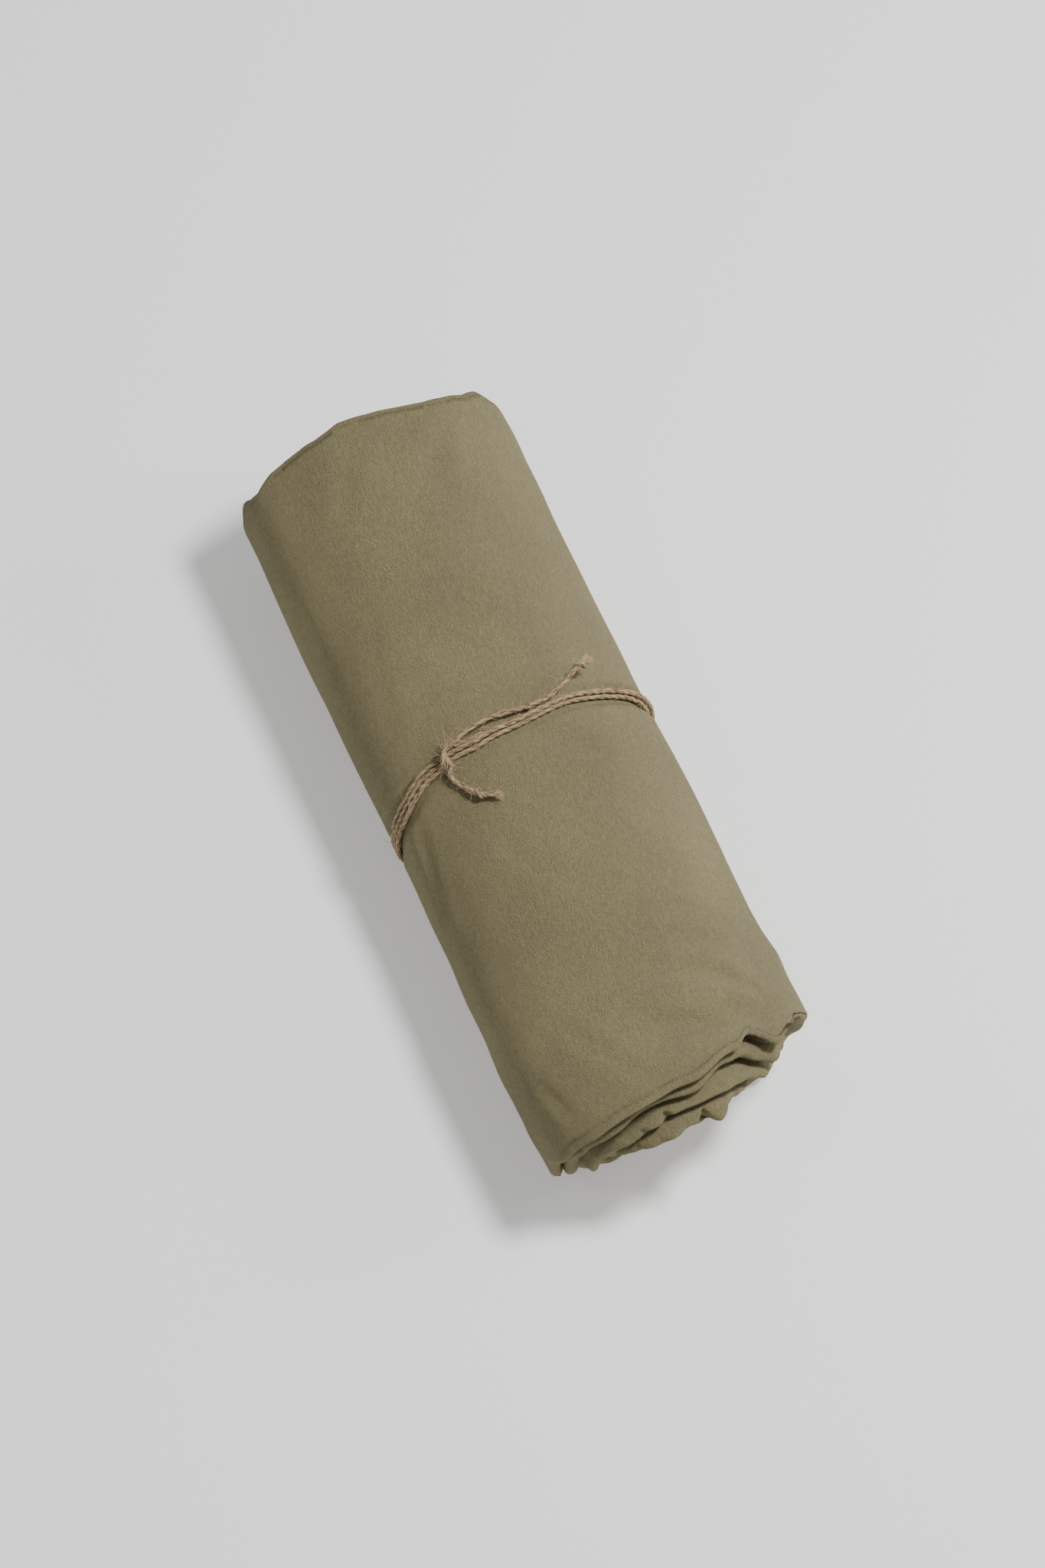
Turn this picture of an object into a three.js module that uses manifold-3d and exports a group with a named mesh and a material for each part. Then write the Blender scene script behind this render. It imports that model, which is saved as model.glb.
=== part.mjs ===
// A bed sheet folded into a long band, rolled up and tied with jute twine, lying on its side.
// Millimetres, +Z up. The roll's axis runs along X, and the floor is at z = 0.
// The end whose folds show in the photograph points to +X.
// All tables are written about the crossing of the twine and the roll's axis, and the finished part is moved so
// that its origin is the middle of its footprint.
import * as THREE from "three";
import { mergeVertices } from "three/addons/utils/BufferGeometryUtils.js";
import Module from "manifold-3d";

const wasm = await Module();
wasm.setup();

const MIDDLE = { x: 20.99, y: 2.55 }; // of the footprint, without the twine's free ends

// Driving sizes of the cross-section
const WIDEST_LINE = 43; // height of the roll's widest line above the floor
const SAG = 2.2; // how far the round section would reach under the floor, where it lies flat instead
const ROUND_TOP = 2.2; // exponent of the upper half's rounded outline
const ROUND_BOTTOM = 2.5;

// The roll's outline along its length: half widths to the left and right of the axis, and its height
const STATIONS = [
  { x: -176, left: 64.8, right: 66.2, top: 90.2 },
  { x: -150, left: 65.0, right: 67.0, top: 90.6 },
  { x: -100, left: 65.8, right: 66.6, top: 91.0 },
  { x: -50, left: 65.4, right: 67.3, top: 91.2 },
  { x: 0, left: 64.9, right: 67.6, top: 91.0 },
  { x: 30, left: 64.4, right: 69.0, top: 91.0 },
  { x: 60, left: 64.8, right: 69.8, top: 91.2 },
  { x: 110, left: 65.7, right: 69.0, top: 91.4 },
  { x: 140, left: 66.5, right: 70.4, top: 91.6 },
  { x: 170, left: 66.2, right: 71.6, top: 91.6 },
  { x: 192, left: 64.6, right: 71.4, top: 91.4 },
  { x: 210, left: 64.2, right: 71.0, top: 91.2 },
];

// Soft hollows (depth over 0) and swellings (under 0) of the outer cloth
const HOLLOWS = [
  { x: 178, angle: 72, alongX: 6, alongAngle: 24, depth: 2.6 },
  { x: 186, angle: 55, alongX: 7, alongAngle: 9, depth: 1.6 },
  { x: 139, angle: 62, alongX: 5, alongAngle: 22, depth: 1.0 },
  { x: 120, angle: 48, alongX: 5, alongAngle: 20, depth: 0.8 },
  { x: 156, angle: 40, alongX: 6, alongAngle: 18, depth: 0.9 },
  { x: 143, angle: 12, alongX: 8, alongAngle: 14, depth: -1.4 },
  { x: -145, angle: 54, alongX: 16, alongAngle: 12, depth: 1.6 },
  { x: -150, angle: 130, alongX: 18, alongAngle: 12, depth: 1.0 },
  { x: 60, angle: 150, alongX: 30, alongAngle: 10, depth: 0.9 },
  { x: -60, angle: 25, alongX: 34, alongAngle: 12, depth: 0.8 },
  { x: 100, angle: 118, alongX: 26, alongAngle: 12, depth: 0.7 },
  { x: -90, angle: 168, alongX: 30, alongAngle: 10, depth: 1.0 },
];

// The winding: the band's outer edge lies low on the hidden left side, and the band runs up the left side,
// over the top and down the right side
const OUTER_EDGE_ANGLE = 208;
const TURN_SHARE = 0.155; // one turn's thickness, as a share of the roll's half width or height
const OUTER_EDGE_SHARE = 0.6; // the outer edge is pressed flatter than the turns inside it
const PRESSED_FROM = 0.86; // share of the first turn after which it starts to dive under the outer edge
const TURNS = 5; // whole turns with folds that show at an end

// Where the band's folded edge ends, turn by turn, from the outermost: x at each angle round the axis
const LIP_ANGLES = [-90, -50, -25, 0, 20, 32, 40, 50, 61, 70, 90, 115, 135, 160, 185, 225];
const NEAR_LIPS = [
  [180, 174, 167, 173, 181, 184, 191, 197.5, 190, 197, 206, 208.5, 209.5, 207, 197, 184],
  [181, 175, 169, 174, 184, 193, 200, 198.5, 195.5, 197.5, 207, 206, 209.3, 206, 199, 187],
  [183, 178, 174, 184, 196, 200, 201.5, 203, 205.5, 207, 210, 213, 214, 211, 203, 192],
  [185, 181, 178, 186, 197, 201, 204, 207, 211, 215, 215.5, 217.5, 214.5, 209, 201, 193],
  [188, 184, 182, 186, 192, 196, 199, 203, 207, 210, 211, 213, 211, 207, 202, 196],
  [191, 188, 187, 189, 192, 195, 198, 200, 202, 204, 205, 206, 205, 203, 200, 196],
];
const FAR_LIPS = [
  [-173, -172, -172, -173, -175, -176, -176, -175, -174, -173, -175, -173, -171, -171, -172, -171],
  [-171, -172, -173, -174, -175, -174, -173, -172, -171, -171, -170, -171, -172, -172, -172, -170],
  [-173, -172, -171, -170, -171, -172, -173, -174, -174, -174, -173, -171, -169, -168, -169, -171],
  [-170, -171, -173, -174, -174, -173, -171, -170, -170, -171, -172, -173, -172, -171, -170, -169],
  [-172, -171, -170, -170, -169, -170, -171, -172, -173, -173, -172, -170, -169, -170, -171, -172],
  [-168, -168, -168, -168, -168, -168, -168, -168, -168, -168, -168, -168, -168, -168, -168, -168],
];
// One folded edge in profile: how far back from its lip, and how deep in the turn's thickness
const LIP_PROFILE = [
  { back: 2.2, share: 0.0 },
  { back: 0.5, share: 0.16 },
  { back: 0.7, share: 0.6 },
  { back: 11, share: 0.86 },
];
const CORE_CRUMPLE = 1.6; // how far the innermost folds are pushed in and out
const CORE_FROM = 2.6; // turns between which that begins and is full
const CORE_FULL = 4.6;
const CORE_DIP = 4; // how far the very middle lies back

// The twine
const TWINE = 2.5;
const GAP = 0.3; // between pieces that touch
const TWINE_PITCH = TWINE + GAP;
const KNOT_ANGLE = 120;
const WAIST_HALF = 4.6; // half width of the hollow that the wraps lie in, and where it has faded out
const WAIST_FADE = 10;
// How deep the wraps press into the cloth, deepest at the right and underneath, where they clear the floor
const WAIST_ANGLES = [-115, -65, 0, 35, 90, 135, 180];
const WAIST_DEPTHS = [3.3, 3.3, 3.6, 2.6, 0.9, 1.0, 2.2];
// Angles between which the wraps come together, and how much closer each comes to the middle one
const BUNCHED_FROM = 112;
const BUNCHED_FULL = 94;
const BUNCHING = 1.45;
// The wraps' middle line round the roll
const TWINE_LINE = [
  { angle: -90, x: 6 },
  { angle: -30, x: 1 },
  { angle: 40, x: 0 },
  { angle: 66, x: 0.2 },
  { angle: 95, x: 5.2 },
  { angle: 120, x: 6.8 },
  { angle: 165, x: 14.5 },
  { angle: 225, x: 12 },
];

// Mesh density
const COLUMNS = 72;
const DENSER_TOP = 0.42; // how much closer the columns stand on the side that faces up
const TOP_TURN_SHARE = 0.36; // that side's middle, as a share of the way round from the outer edge
const BODY_ROWS = [
  150, 136, 122, 106, 90, 70, 50, 32, 20, 13, 9, 4.6, -4.6, -9, -13, -20, -32, -50, -70, -90, -110, -126, -140,
];
const END_ROW_SHARES = [0.3, 0.62, 0.86]; // of the way from the last body row to the lip
const TUBE_SIDES = 8;
const TUBE_STEP = 7;

const rad = THREE.MathUtils.degToRad;
const bell = (distance, spread) => Math.exp(-((distance / spread) ** 2));

// An eased rise from 0 at one value to 1 at another, whichever is the greater
function smooth(from, to, value) {
  const share = THREE.MathUtils.clamp((value - from) / (to - from), 0, 1);
  return share * share * (3 - 2 * share);
}

// The shortest way round from one angle to another, in degrees
function turnBetween(from, to) {
  return ((((to - from) % 360) + 540) % 360) - 180;
}

// A smooth curve through rows, read at a value of their key
function readRows(rows, key, column, value) {
  const last = rows.length - 1;
  if (value <= rows[0][key]) return rows[0][column];
  if (value >= rows[last][key]) return rows[last][column];
  const i = rows.findIndex((row) => row[key] > value);
  const share = smooth(rows[i - 1][key], rows[i][key], value);
  return rows[i - 1][column] + (rows[i][column] - rows[i - 1][column]) * share;
}

// A table's value at an angle, read as a closed ring
function readRing(angles, values, angle) {
  const first = angles[0];
  const at = (((angle - first) % 360) + 360) % 360;
  let i = 0;
  while (i + 1 < angles.length && angles[i + 1] - first <= at) i += 1;
  const low = angles[i] - first;
  const high = i + 1 < angles.length ? angles[i + 1] - first : 360;
  const share = smooth(low, high, at);
  const next = values[(i + 1) % angles.length];
  return values[i] + (next - values[i]) * share;
}

function twineLine(angle) {
  return readRing(
    TWINE_LINE.map((row) => row.angle),
    TWINE_LINE.map((row) => row.x),
    angle,
  );
}

// The plain outline of the section at x: a rounded oval that is flat where it lies on the floor
function outline(x, angle, scale = 1) {
  const c = Math.cos(rad(angle));
  const s = Math.sin(rad(angle));
  const power = 2 / (s > 0 ? ROUND_TOP : ROUND_BOTTOM);
  const half = readRows(STATIONS, "x", c > 0 ? "right" : "left", x);
  const rise = s > 0 ? readRows(STATIONS, "x", "top", x) - WIDEST_LINE : WIDEST_LINE + SAG;
  return new THREE.Vector3(
    x,
    scale * half * Math.sign(c) * Math.abs(c) ** power,
    WIDEST_LINE + scale * rise * Math.sign(s) * Math.abs(s) ** power,
  );
}

// Which way the section faces at an angle
function outward(x, angle) {
  const before = outline(x, angle - 1);
  const after = outline(x, angle + 1);
  return new THREE.Vector3(0, after.z - before.z, before.y - after.y).normalize();
}

// How deep the twine has pressed the cloth in
function waist(x, angle) {
  const away = Math.abs(x - twineLine(angle));
  return readRing(WAIST_ANGLES, WAIST_DEPTHS, angle) * (1 - smooth(WAIST_HALF, WAIST_FADE, away));
}

// A place on the outer cloth
function surface(x, angle, scale = 1) {
  let sink = 0;
  for (const hollow of HOLLOWS) {
    const across = bell(turnBetween(hollow.angle, angle), hollow.alongAngle);
    sink += hollow.depth * bell(x - hollow.x, hollow.alongX) * across;
  }
  const place = outline(x, angle, scale);
  place.z = Math.max(place.z, 0);
  const under = smooth(-0.55, -0.9, Math.sin(rad(angle)));
  place.addScaledVector(outward(x, angle), -sink * (1 - under) - waist(x, angle));
  if (under > 0.99) place.z = Math.max(place.z, waist(x, angle));
  return place;
}

// The share of the roll's size at which a turn's outer face lies, where the outer edge is turn 0
function turnScale(turn) {
  const first = OUTER_EDGE_SHARE * smooth(PRESSED_FROM, 1, turn);
  return Math.max(0.04, 1 - TURN_SHARE * (turn <= 1 ? first : OUTER_EDGE_SHARE + turn - 1));
}

// Where the folded edge ends, at a turn counted from the outer edge
function lipAt(lips, turn, share, angle) {
  const row = THREE.MathUtils.clamp(turn + share - 0.33, 0, lips.length - 1);
  const low = Math.floor(row);
  const high = Math.min(low + 1, lips.length - 1);
  const outer = readRing(LIP_ANGLES, lips[low], angle);
  const inner = readRing(LIP_ANGLES, lips[high], angle);
  return outer + (inner - outer) * (row - low);
}

// The roll as one closed solid. Rows run from the core of the far end over its folds, along the outside and
// over the near end's folds to its core. Columns run once round, and the folds at each end join on in a spiral.
function rollGeometry() {
  const points = [];
  const faces = [];
  const columnShare = (column) => {
    const v = column / COLUMNS;
    const wave = Math.sin(2 * Math.PI * (v - TOP_TURN_SHARE)) + Math.sin(2 * Math.PI * TOP_TURN_SHARE);
    return v - (DENSER_TOP / (2 * Math.PI)) * wave;
  };
  const shares = Array.from({ length: COLUMNS }, (_, column) => columnShare(column));
  const angleOf = (share) => OUTER_EDGE_ANGLE - 360 * share;

  const addRow = (placeAt) => {
    shares.forEach((share) => points.push(placeAt(share, angleOf(share))));
    return points.length / COLUMNS - 1;
  };
  const index = (row, column) => row * COLUMNS + column;
  const quad = (a, b, c, d) => faces.push([a, b, c], [a, c, d]);

  // Rows of the outside, from the near end to the far end
  const edgeX = (lips, share, angle, side) => lipAt(lips, 0, share, angle) - side * LIP_PROFILE[0].back;
  const outside = [];
  const bodyPlace = (x, share, angle) => surface(x, angle, turnScale(share));
  const endRows = (lips, side, start) =>
    END_ROW_SHARES.map((part) =>
      addRow((share, angle) => {
        const x = start + part * (edgeX(lips, share, angle, side) - start);
        return bodyPlace(x, share, angle);
      }),
    );
  outside.push(...endRows(NEAR_LIPS, 1, BODY_ROWS[0]).reverse());
  for (const rowX of BODY_ROWS) {
    const follow = 1 - smooth(12, 45, Math.abs(rowX));
    outside.push(addRow((share, angle) => bodyPlace(rowX + follow * twineLine(angle), share, angle)));
  }
  outside.push(...endRows(FAR_LIPS, -1, BODY_ROWS[BODY_ROWS.length - 1]));
  for (let i = 0; i + 1 < outside.length; i += 1)
    for (let column = 0; column < COLUMNS; column += 1) {
      const next = (column + 1) % COLUMNS;
      quad(
        index(outside[i], column),
        index(outside[i], next),
        index(outside[i + 1], next),
        index(outside[i + 1], column),
      );
    }

  // Folds of one end: turn after turn of the lip's profile, ending in a fan at the core
  const addEnd = (lips, side, joint) => {
    const rows = [];
    for (let turn = 0; turn < TURNS; turn += 1)
      for (const { back, share: depth } of LIP_PROFILE)
        rows.push(
          addRow((share, angle) => {
            const outer = turnScale(turn + share);
            const inner = turnScale(turn + share + 1);
            const inCore = smooth(CORE_FROM, CORE_FULL, turn + share);
            const wave = Math.sin(rad(angle) * 7 + turn * 2.1) + Math.sin(rad(angle) * 11 + turn * 4.3);
            const crumple = CORE_CRUMPLE * inCore * wave;
            const x = lipAt(lips, turn, share, angle) - side * (back * (1 - 0.35 * inCore) - crumple);
            const scale = outer + (inner - outer) * depth;
            return surface(x, angle, scale);
          }),
        );
    const turnRows = LIP_PROFILE.length;
    const last = rows.length - 1;
    const flip = (corners) => (side > 0 ? corners : corners.reverse());
    const strip = (upper, lower, column) =>
      quad(...flip([lower(column), lower(column + 1), upper(column + 1), upper(column)]));
    const ring = (row) => (column) => index(row, column % COLUMNS);
    const spiral = (i) => (column) =>
      column < COLUMNS ? index(rows[i], column) : index(rows[i + turnRows], 0);
    for (let column = 0; column + 1 < COLUMNS; column += 1) {
      strip(ring(joint), ring(rows[0]), column);
      for (let i = 0; i < last; i += 1) strip(ring(rows[i]), ring(rows[i + 1]), column);
    }
    for (let i = 0; i + turnRows < last; i += 1) strip(spiral(i), spiral(i + 1), COLUMNS - 1);
    // the band's own outer edge, where the lip's profile is closed
    const edge = [index(joint, COLUMNS - 1), index(joint, 0)];
    for (let i = 0; i <= turnRows; i += 1) edge.push(index(rows[i], 0));
    edge.push(index(rows[0], COLUMNS - 1));
    for (let i = 1; i + 1 < edge.length; i += 1) faces.push(flip([edge[0], edge[i + 1], edge[i]]));
    // the core
    const core = [];
    for (let column = 0; column < COLUMNS; column += 1) core.push(index(rows[last], column));
    for (let i = last - 1; i >= last - turnRows; i -= 1) core.push(index(rows[i], COLUMNS - 1));
    const centre = new THREE.Vector3();
    core.forEach((i) => centre.addScaledVector(points[i], 1 / core.length));
    centre.x -= side * CORE_DIP;
    addRow(() => centre.clone());
    const middle = points.length - COLUMNS;
    core.forEach((corner, i) => faces.push(flip([corner, middle, core[(i + 1) % core.length]])));
  };
  addEnd(NEAR_LIPS, 1, outside[0]);
  addEnd(FAR_LIPS, -1, outside[outside.length - 1]);

  const geometry = new THREE.BufferGeometry();
  geometry.setAttribute(
    "position",
    new THREE.Float32BufferAttribute(points.flatMap((p) => [p.x, p.y, p.z]), 3),
  );
  geometry.setIndex(faces.flat());
  return geometry;
}

// Merged positions only, as manifold-3d needs them
function cleaned(geometry) {
  const bare = geometry.clone();
  bare.deleteAttribute("normal");
  bare.deleteAttribute("uv");
  return mergeVertices(bare, 1e-4);
}

function joined(geometries) {
  const solids = geometries.map((geometry) => {
    const bare = cleaned(geometry);
    return new wasm.Manifold(
      new wasm.Mesh({
        numProp: 3,
        vertProperties: bare.attributes.position.array,
        triVerts: new Uint32Array(bare.index.array),
      }),
    );
  });
  const whole = solids.reduce((sum, solid) => sum.add(solid)).getMesh();
  const geometry = new THREE.BufferGeometry();
  geometry.setAttribute("position", new THREE.BufferAttribute(whole.vertProperties, 3));
  geometry.setIndex(new THREE.BufferAttribute(whole.triVerts, 1));
  geometry.computeVertexNormals();
  return geometry;
}

// A round cord along a smooth curve through points
function tube(points, diameter, step = TUBE_STEP) {
  const curve = new THREE.CatmullRomCurve3(points, false, "centripetal");
  const ring = [];
  for (let i = 0; i < TUBE_SIDES; i += 1) {
    const turn = (2 * Math.PI * i) / TUBE_SIDES;
    ring.push(new THREE.Vector2((diameter / 2) * Math.cos(turn), (diameter / 2) * Math.sin(turn)));
  }
  return new THREE.ExtrudeGeometry(new THREE.Shape(ring), {
    steps: Math.max(3, Math.round(curve.getLength() / step)),
    extrudePath: curve,
    bevelEnabled: false,
  });
}

// The flat knot's own directions: round the roll to the right, along the roll, and outward
const KNOT_PLACE = surface(twineLine(KNOT_ANGLE), KNOT_ANGLE);
const KNOT_OUT = outward(0, KNOT_ANGLE);
const KNOT_ALONG = new THREE.Vector3(0, KNOT_OUT.z, -KNOT_OUT.y);
const FACET_SLACK = 0.32; // keeps the gap where straight facets cut across the curves
const STRAND_HEIGHT = GAP + FACET_SLACK + TWINE / 2; // a wrap's middle above the cloth

// A place near the knot: t round the roll, x along it, n above the middle of the wraps
function nearKnot({ t, x, n }) {
  return KNOT_PLACE.clone()
    .addScaledVector(KNOT_ALONG, t)
    .addScaledVector(new THREE.Vector3(1, 0, 0), x)
    .addScaledVector(KNOT_OUT, n + STRAND_HEIGHT);
}

// A wrap's middle at an angle, in slot -1, 0 or 1 of the bundle. From the top of the roll down its right flank the
// three wraps are bunched, the middle one riding up over the other two.
function wrapPlace(angle, slot) {
  const right = smooth(BUNCHED_FROM, BUNCHED_FULL, angle) * smooth(-62, -30, angle);
  const aside = TWINE_PITCH - BUNCHING * right;
  const lift = (1 - Math.abs(slot)) * Math.sqrt(Math.max(0, TWINE_PITCH ** 2 - aside ** 2));
  const x = twineLine(angle) + slot * aside;
  return surface(x, angle).addScaledVector(outward(x, angle), STRAND_HEIGHT + lift);
}

// Three turns of twine as one cord, from the knot round the roll and back to it
function wrapsGeometry() {
  const path = [nearKnot({ t: 4.4, x: -3.7, n: 0.3 })];
  const firstAngle = KNOT_ANGLE - 13;
  const lastAngle = KNOT_ANGLE - 360 + 13;
  [-1, 0, 1].forEach((slot) => {
    for (let angle = firstAngle; angle >= lastAngle; angle -= 5.5) path.push(wrapPlace(angle, slot));
    if (slot < 1) path.push(wrapPlace(KNOT_ANGLE, slot + 0.5));
  });
  path.push(nearKnot({ t: -4.4, x: 3.7, n: 0.3 }));
  return tube(path, TWINE);
}

// The knot: one strand runs across the wraps and the other is hitched over it
const KNOT_ACROSS = [
  { t: 3.2, x: -4.5, n: 1.0 },
  { t: 1.2, x: -4.1, n: 2.1 },
  { t: -0.4, x: -2.4, n: 3.3 },
  { t: -0.8, x: 0, n: 3.5 },
  { t: -0.5, x: 2.6, n: 3.0 },
  { t: -0.3, x: 4.5, n: 2.2 },
];
const KNOT_OVER = [
  { t: -3.7, x: 4.0, n: 2.4 },
  { t: -2.8, x: 2.4, n: 3.4 },
  { t: -1.2, x: 0.2, n: 5.0 },
  { t: 0.8, x: -1.6, n: 5.1 },
  { t: 2.6, x: -2.9, n: 4.1 },
];

// The free ends, hand-placed as they lie in the photograph, from the knot outwards
const LONG_END = [
  [3.5, -32.9, 90.8],
  [2.9, -31.2, 90.8],
  [2.1, -28.6, 91.4],
  [1.2, -25.9, 92.0],
  [0.4, -23.2, 92.5],
  [-0.3, -20.2, 93.0],
  [-0.9, -16.2, 93.4],
  [-1.2, -12.2, 93.7],
  [-1.1, -8.3, 93.9],
  [-0.8, -4.5, 94.0],
  [-0.5, -0.8, 94.1],
  [-0.2, 3.0, 94.1],
  [-0.1, 7.0, 94.1],
  [-0.2, 11.0, 94.1],
  [-0.7, 15.4, 94.2],
  [-1.7, 19.2, 94.4],
  [-3.2, 23.0, 94.7],
  [-4.8, 26.6, 95.0],
  [-6.9, 30.6, 95.3],
  [-9.0, 34.2, 95.6],
];
const SHORT_END = [
  [12.3, -36.1, 86.7],
  [13.6, -36.9, 86.4],
  [15.3, -37.6, 86.2],
  [17.3, -37.7, 86.0],
  [19.6, -37.1, 86.1],
  [21.9, -35.9, 86.6],
  [24.2, -34.7, 87.3],
  [26.4, -33.6, 88.2],
  [28.4, -32.6, 89.1],
  [30.2, -31.7, 89.8],
];
const vector = ([x, y, z]) => new THREE.Vector3(x, y, z);

// An overhand knot near a free end, with the frayed tuft beyond it: two loops round the strand and a flared brush
function endKnotGeometry(end, before, tuftLength) {
  const way = end.clone().sub(before).normalize();
  const side = new THREE.Vector3(0, 0, 1).cross(way).normalize();
  const up = way.clone().cross(side);
  const at = (along, across, above) =>
    end.clone().addScaledVector(way, along).addScaledVector(side, across).addScaledVector(up, above);
  const loop = (along, lean, radius) => {
    const ring = new THREE.TorusGeometry(radius, TWINE * 0.46, TUBE_SIDES, 14);
    const axis = way.clone().addScaledVector(side, lean).normalize();
    ring.applyQuaternion(new THREE.Quaternion().setFromUnitVectors(new THREE.Vector3(0, 0, 1), axis));
    const middle = at(along, 0, 0);
    return ring.translate(middle.x, middle.y, middle.z);
  };
  const start = GAP + TWINE * 0.5;
  const strand = tube([at(GAP, 0, 0), at(start + 2.2, 0, 0), at(start + 4.4, 0, 0)], TWINE * 0.9, 2);
  const brush = tube(
    [at(start + 3.6, 0, 0), at(start + 4 + tuftLength * 0.5, 0.2, 0), at(start + 4 + tuftLength, 0.5, -0.2)],
    TWINE * 1.15,
    2,
  );
  return joined([strand, loop(start + 0.9, 0.45, TWINE * 0.62), loop(start + 2.6, -0.5, TWINE * 0.58), brush]);
}

const cloth = new THREE.MeshStandardMaterial({ color: 0x8f8567, roughness: 0.95, metalness: 0 });
const jute = new THREE.MeshStandardMaterial({ color: 0xa98a66, roughness: 0.9, metalness: 0 });

const group = new THREE.Group();
group.position.set(-MIDDLE.x, -MIDDLE.y, 0);
function add(name, geometry, material) {
  const whole = cleaned(geometry);
  whole.computeVertexNormals();
  const mesh = new THREE.Mesh(whole, material);
  mesh.name = name;
  group.add(mesh);
}

const longEnd = LONG_END.map(vector);
const shortEnd = SHORT_END.map(vector);
add("sheet_roll", rollGeometry(), cloth);
add("twine_wraps", wrapsGeometry(), jute);
add(
  "twine_knot",
  joined([tube(KNOT_ACROSS.map(nearKnot), TWINE * 1.05, 2.2), tube(KNOT_OVER.map(nearKnot), TWINE * 1.05, 2.2)]),
  jute,
);
add("twine_end_long", tube(longEnd, TWINE, 5), jute);
add("twine_end_short", tube(shortEnd, TWINE, 5), jute);
add("end_knot_long", endKnotGeometry(longEnd.at(-1), longEnd.at(-2), 4), jute);
add("end_knot_short", endKnotGeometry(shortEnd.at(-1), shortEnd.at(-2), 5), jute);

export default group;
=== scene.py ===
"""A bed sheet folded into a long band, rolled up and tied round its middle with jute twine.

The tables hold a maker's sizes in millimetres and degrees, about the place where the twine crosses the roll's axis:
x runs along the roll towards the end whose folds step out, y across it to the right, z up from the floor. Angles run
round the section from the right side (0) over the top (90) to the left side (180). Meshes are in metres about the
middle of the roll's footprint.
"""

import logging
import math
from dataclasses import dataclass, field
from enum import Enum

import bpy
import numpy as np
from mathutils import Matrix, Vector


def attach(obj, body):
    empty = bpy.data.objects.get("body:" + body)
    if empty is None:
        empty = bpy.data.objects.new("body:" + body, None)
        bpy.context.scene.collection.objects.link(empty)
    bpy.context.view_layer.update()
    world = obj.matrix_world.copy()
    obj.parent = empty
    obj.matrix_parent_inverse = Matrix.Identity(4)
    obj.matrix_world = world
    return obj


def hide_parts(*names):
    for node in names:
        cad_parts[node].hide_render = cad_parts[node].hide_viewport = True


log = logging.getLogger("rolled_sheet")
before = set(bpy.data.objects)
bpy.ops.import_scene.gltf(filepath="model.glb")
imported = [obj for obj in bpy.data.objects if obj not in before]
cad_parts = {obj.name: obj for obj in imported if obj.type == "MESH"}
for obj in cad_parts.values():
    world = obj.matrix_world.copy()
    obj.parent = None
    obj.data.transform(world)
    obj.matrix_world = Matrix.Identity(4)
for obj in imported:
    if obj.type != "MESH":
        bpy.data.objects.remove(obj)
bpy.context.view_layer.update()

BODY = "root"
FOOTPRINT_MIDDLE = np.array([20.99, 2.55, 0.0])
TO_METRES = 0.001
BAKE_LAYER = "OFBake"
FIBRE_LAYER = "Fibre"


def eased(start: float | np.ndarray, end: float | np.ndarray, value: np.ndarray) -> np.ndarray:
    """An eased rise from 0 at start to 1 at end, whichever of the two is the greater.

    Args:
        start: where the rise begins.
        end: where it is full.
        value: where it is read.

    Returns:
        3 s^2 - 2 s^3 of the share s of the way, held at 0 and 1 outside.
    """
    share = np.clip((value - start) / (np.asarray(end) - start), 0.0, 1.0)
    return share * share * (3.0 - 2.0 * share)


def turn_between(start: float, angle: np.ndarray) -> np.ndarray:
    """The shortest way round in degrees from one angle to others."""
    return (angle - start + 540.0) % 360.0 - 180.0


def read_rows(keys: np.ndarray, values: np.ndarray, at: np.ndarray) -> np.ndarray:
    """Reads a table with an eased passage from each row to the next.

    Args:
        keys: rising keys of the rows.
        values: the rows' values.
        at: where to read, held at the first and last rows outside them.

    Returns:
        The values there.
    """
    at = np.clip(at, keys[0], keys[-1])
    low = np.clip(np.searchsorted(keys, at, side="right") - 1, 0, len(keys) - 2)
    share = eased(keys[low], keys[low + 1], at)
    return values[low] + (values[low + 1] - values[low]) * share


def read_ring(angles: np.ndarray, values: np.ndarray, at: np.ndarray) -> np.ndarray:
    """Reads a table of rising angles as a closed ring, with an eased passage from each to the next."""
    keys = np.append(angles, angles[0] + 360.0)
    return read_rows(keys, np.append(values, values[0]), (at - angles[0]) % 360.0 + angles[0])


@dataclass(frozen=True)
class SoftNoise:
    """Uneven swelling of cloth: a sum of sine waves of drawn direction, length and phase."""

    seed: int
    waves: int
    shortest: float
    longest: float

    def read(self, along: np.ndarray, across: np.ndarray, stretch: float = 1.0) -> np.ndarray:
        """Reads the noise.

        Args:
            along: the first coordinate in millimetres.
            across: the second coordinate in millimetres.
            stretch: how many times longer the swellings are across than along.

        Returns:
            The sum over waves of sin(2 pi (along cos t + across sin t / stretch) / length + phase), -1 to 1.
        """
        draw = np.random.RandomState(self.seed)
        turn = draw.uniform(0, math.pi, self.waves)
        length = np.exp(draw.uniform(math.log(self.shortest), math.log(self.longest), self.waves))
        phase = draw.uniform(0, 2 * math.pi, self.waves)
        weight = length / length.sum()
        total = np.zeros(np.broadcast(along, across).shape)
        for t, size, start, share in zip(turn, length, phase, weight):
            way = along * math.cos(t) + across * math.sin(t) / stretch
            total += share * np.sin(2 * math.pi * way / size + start)
        return total * 1.6


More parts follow.
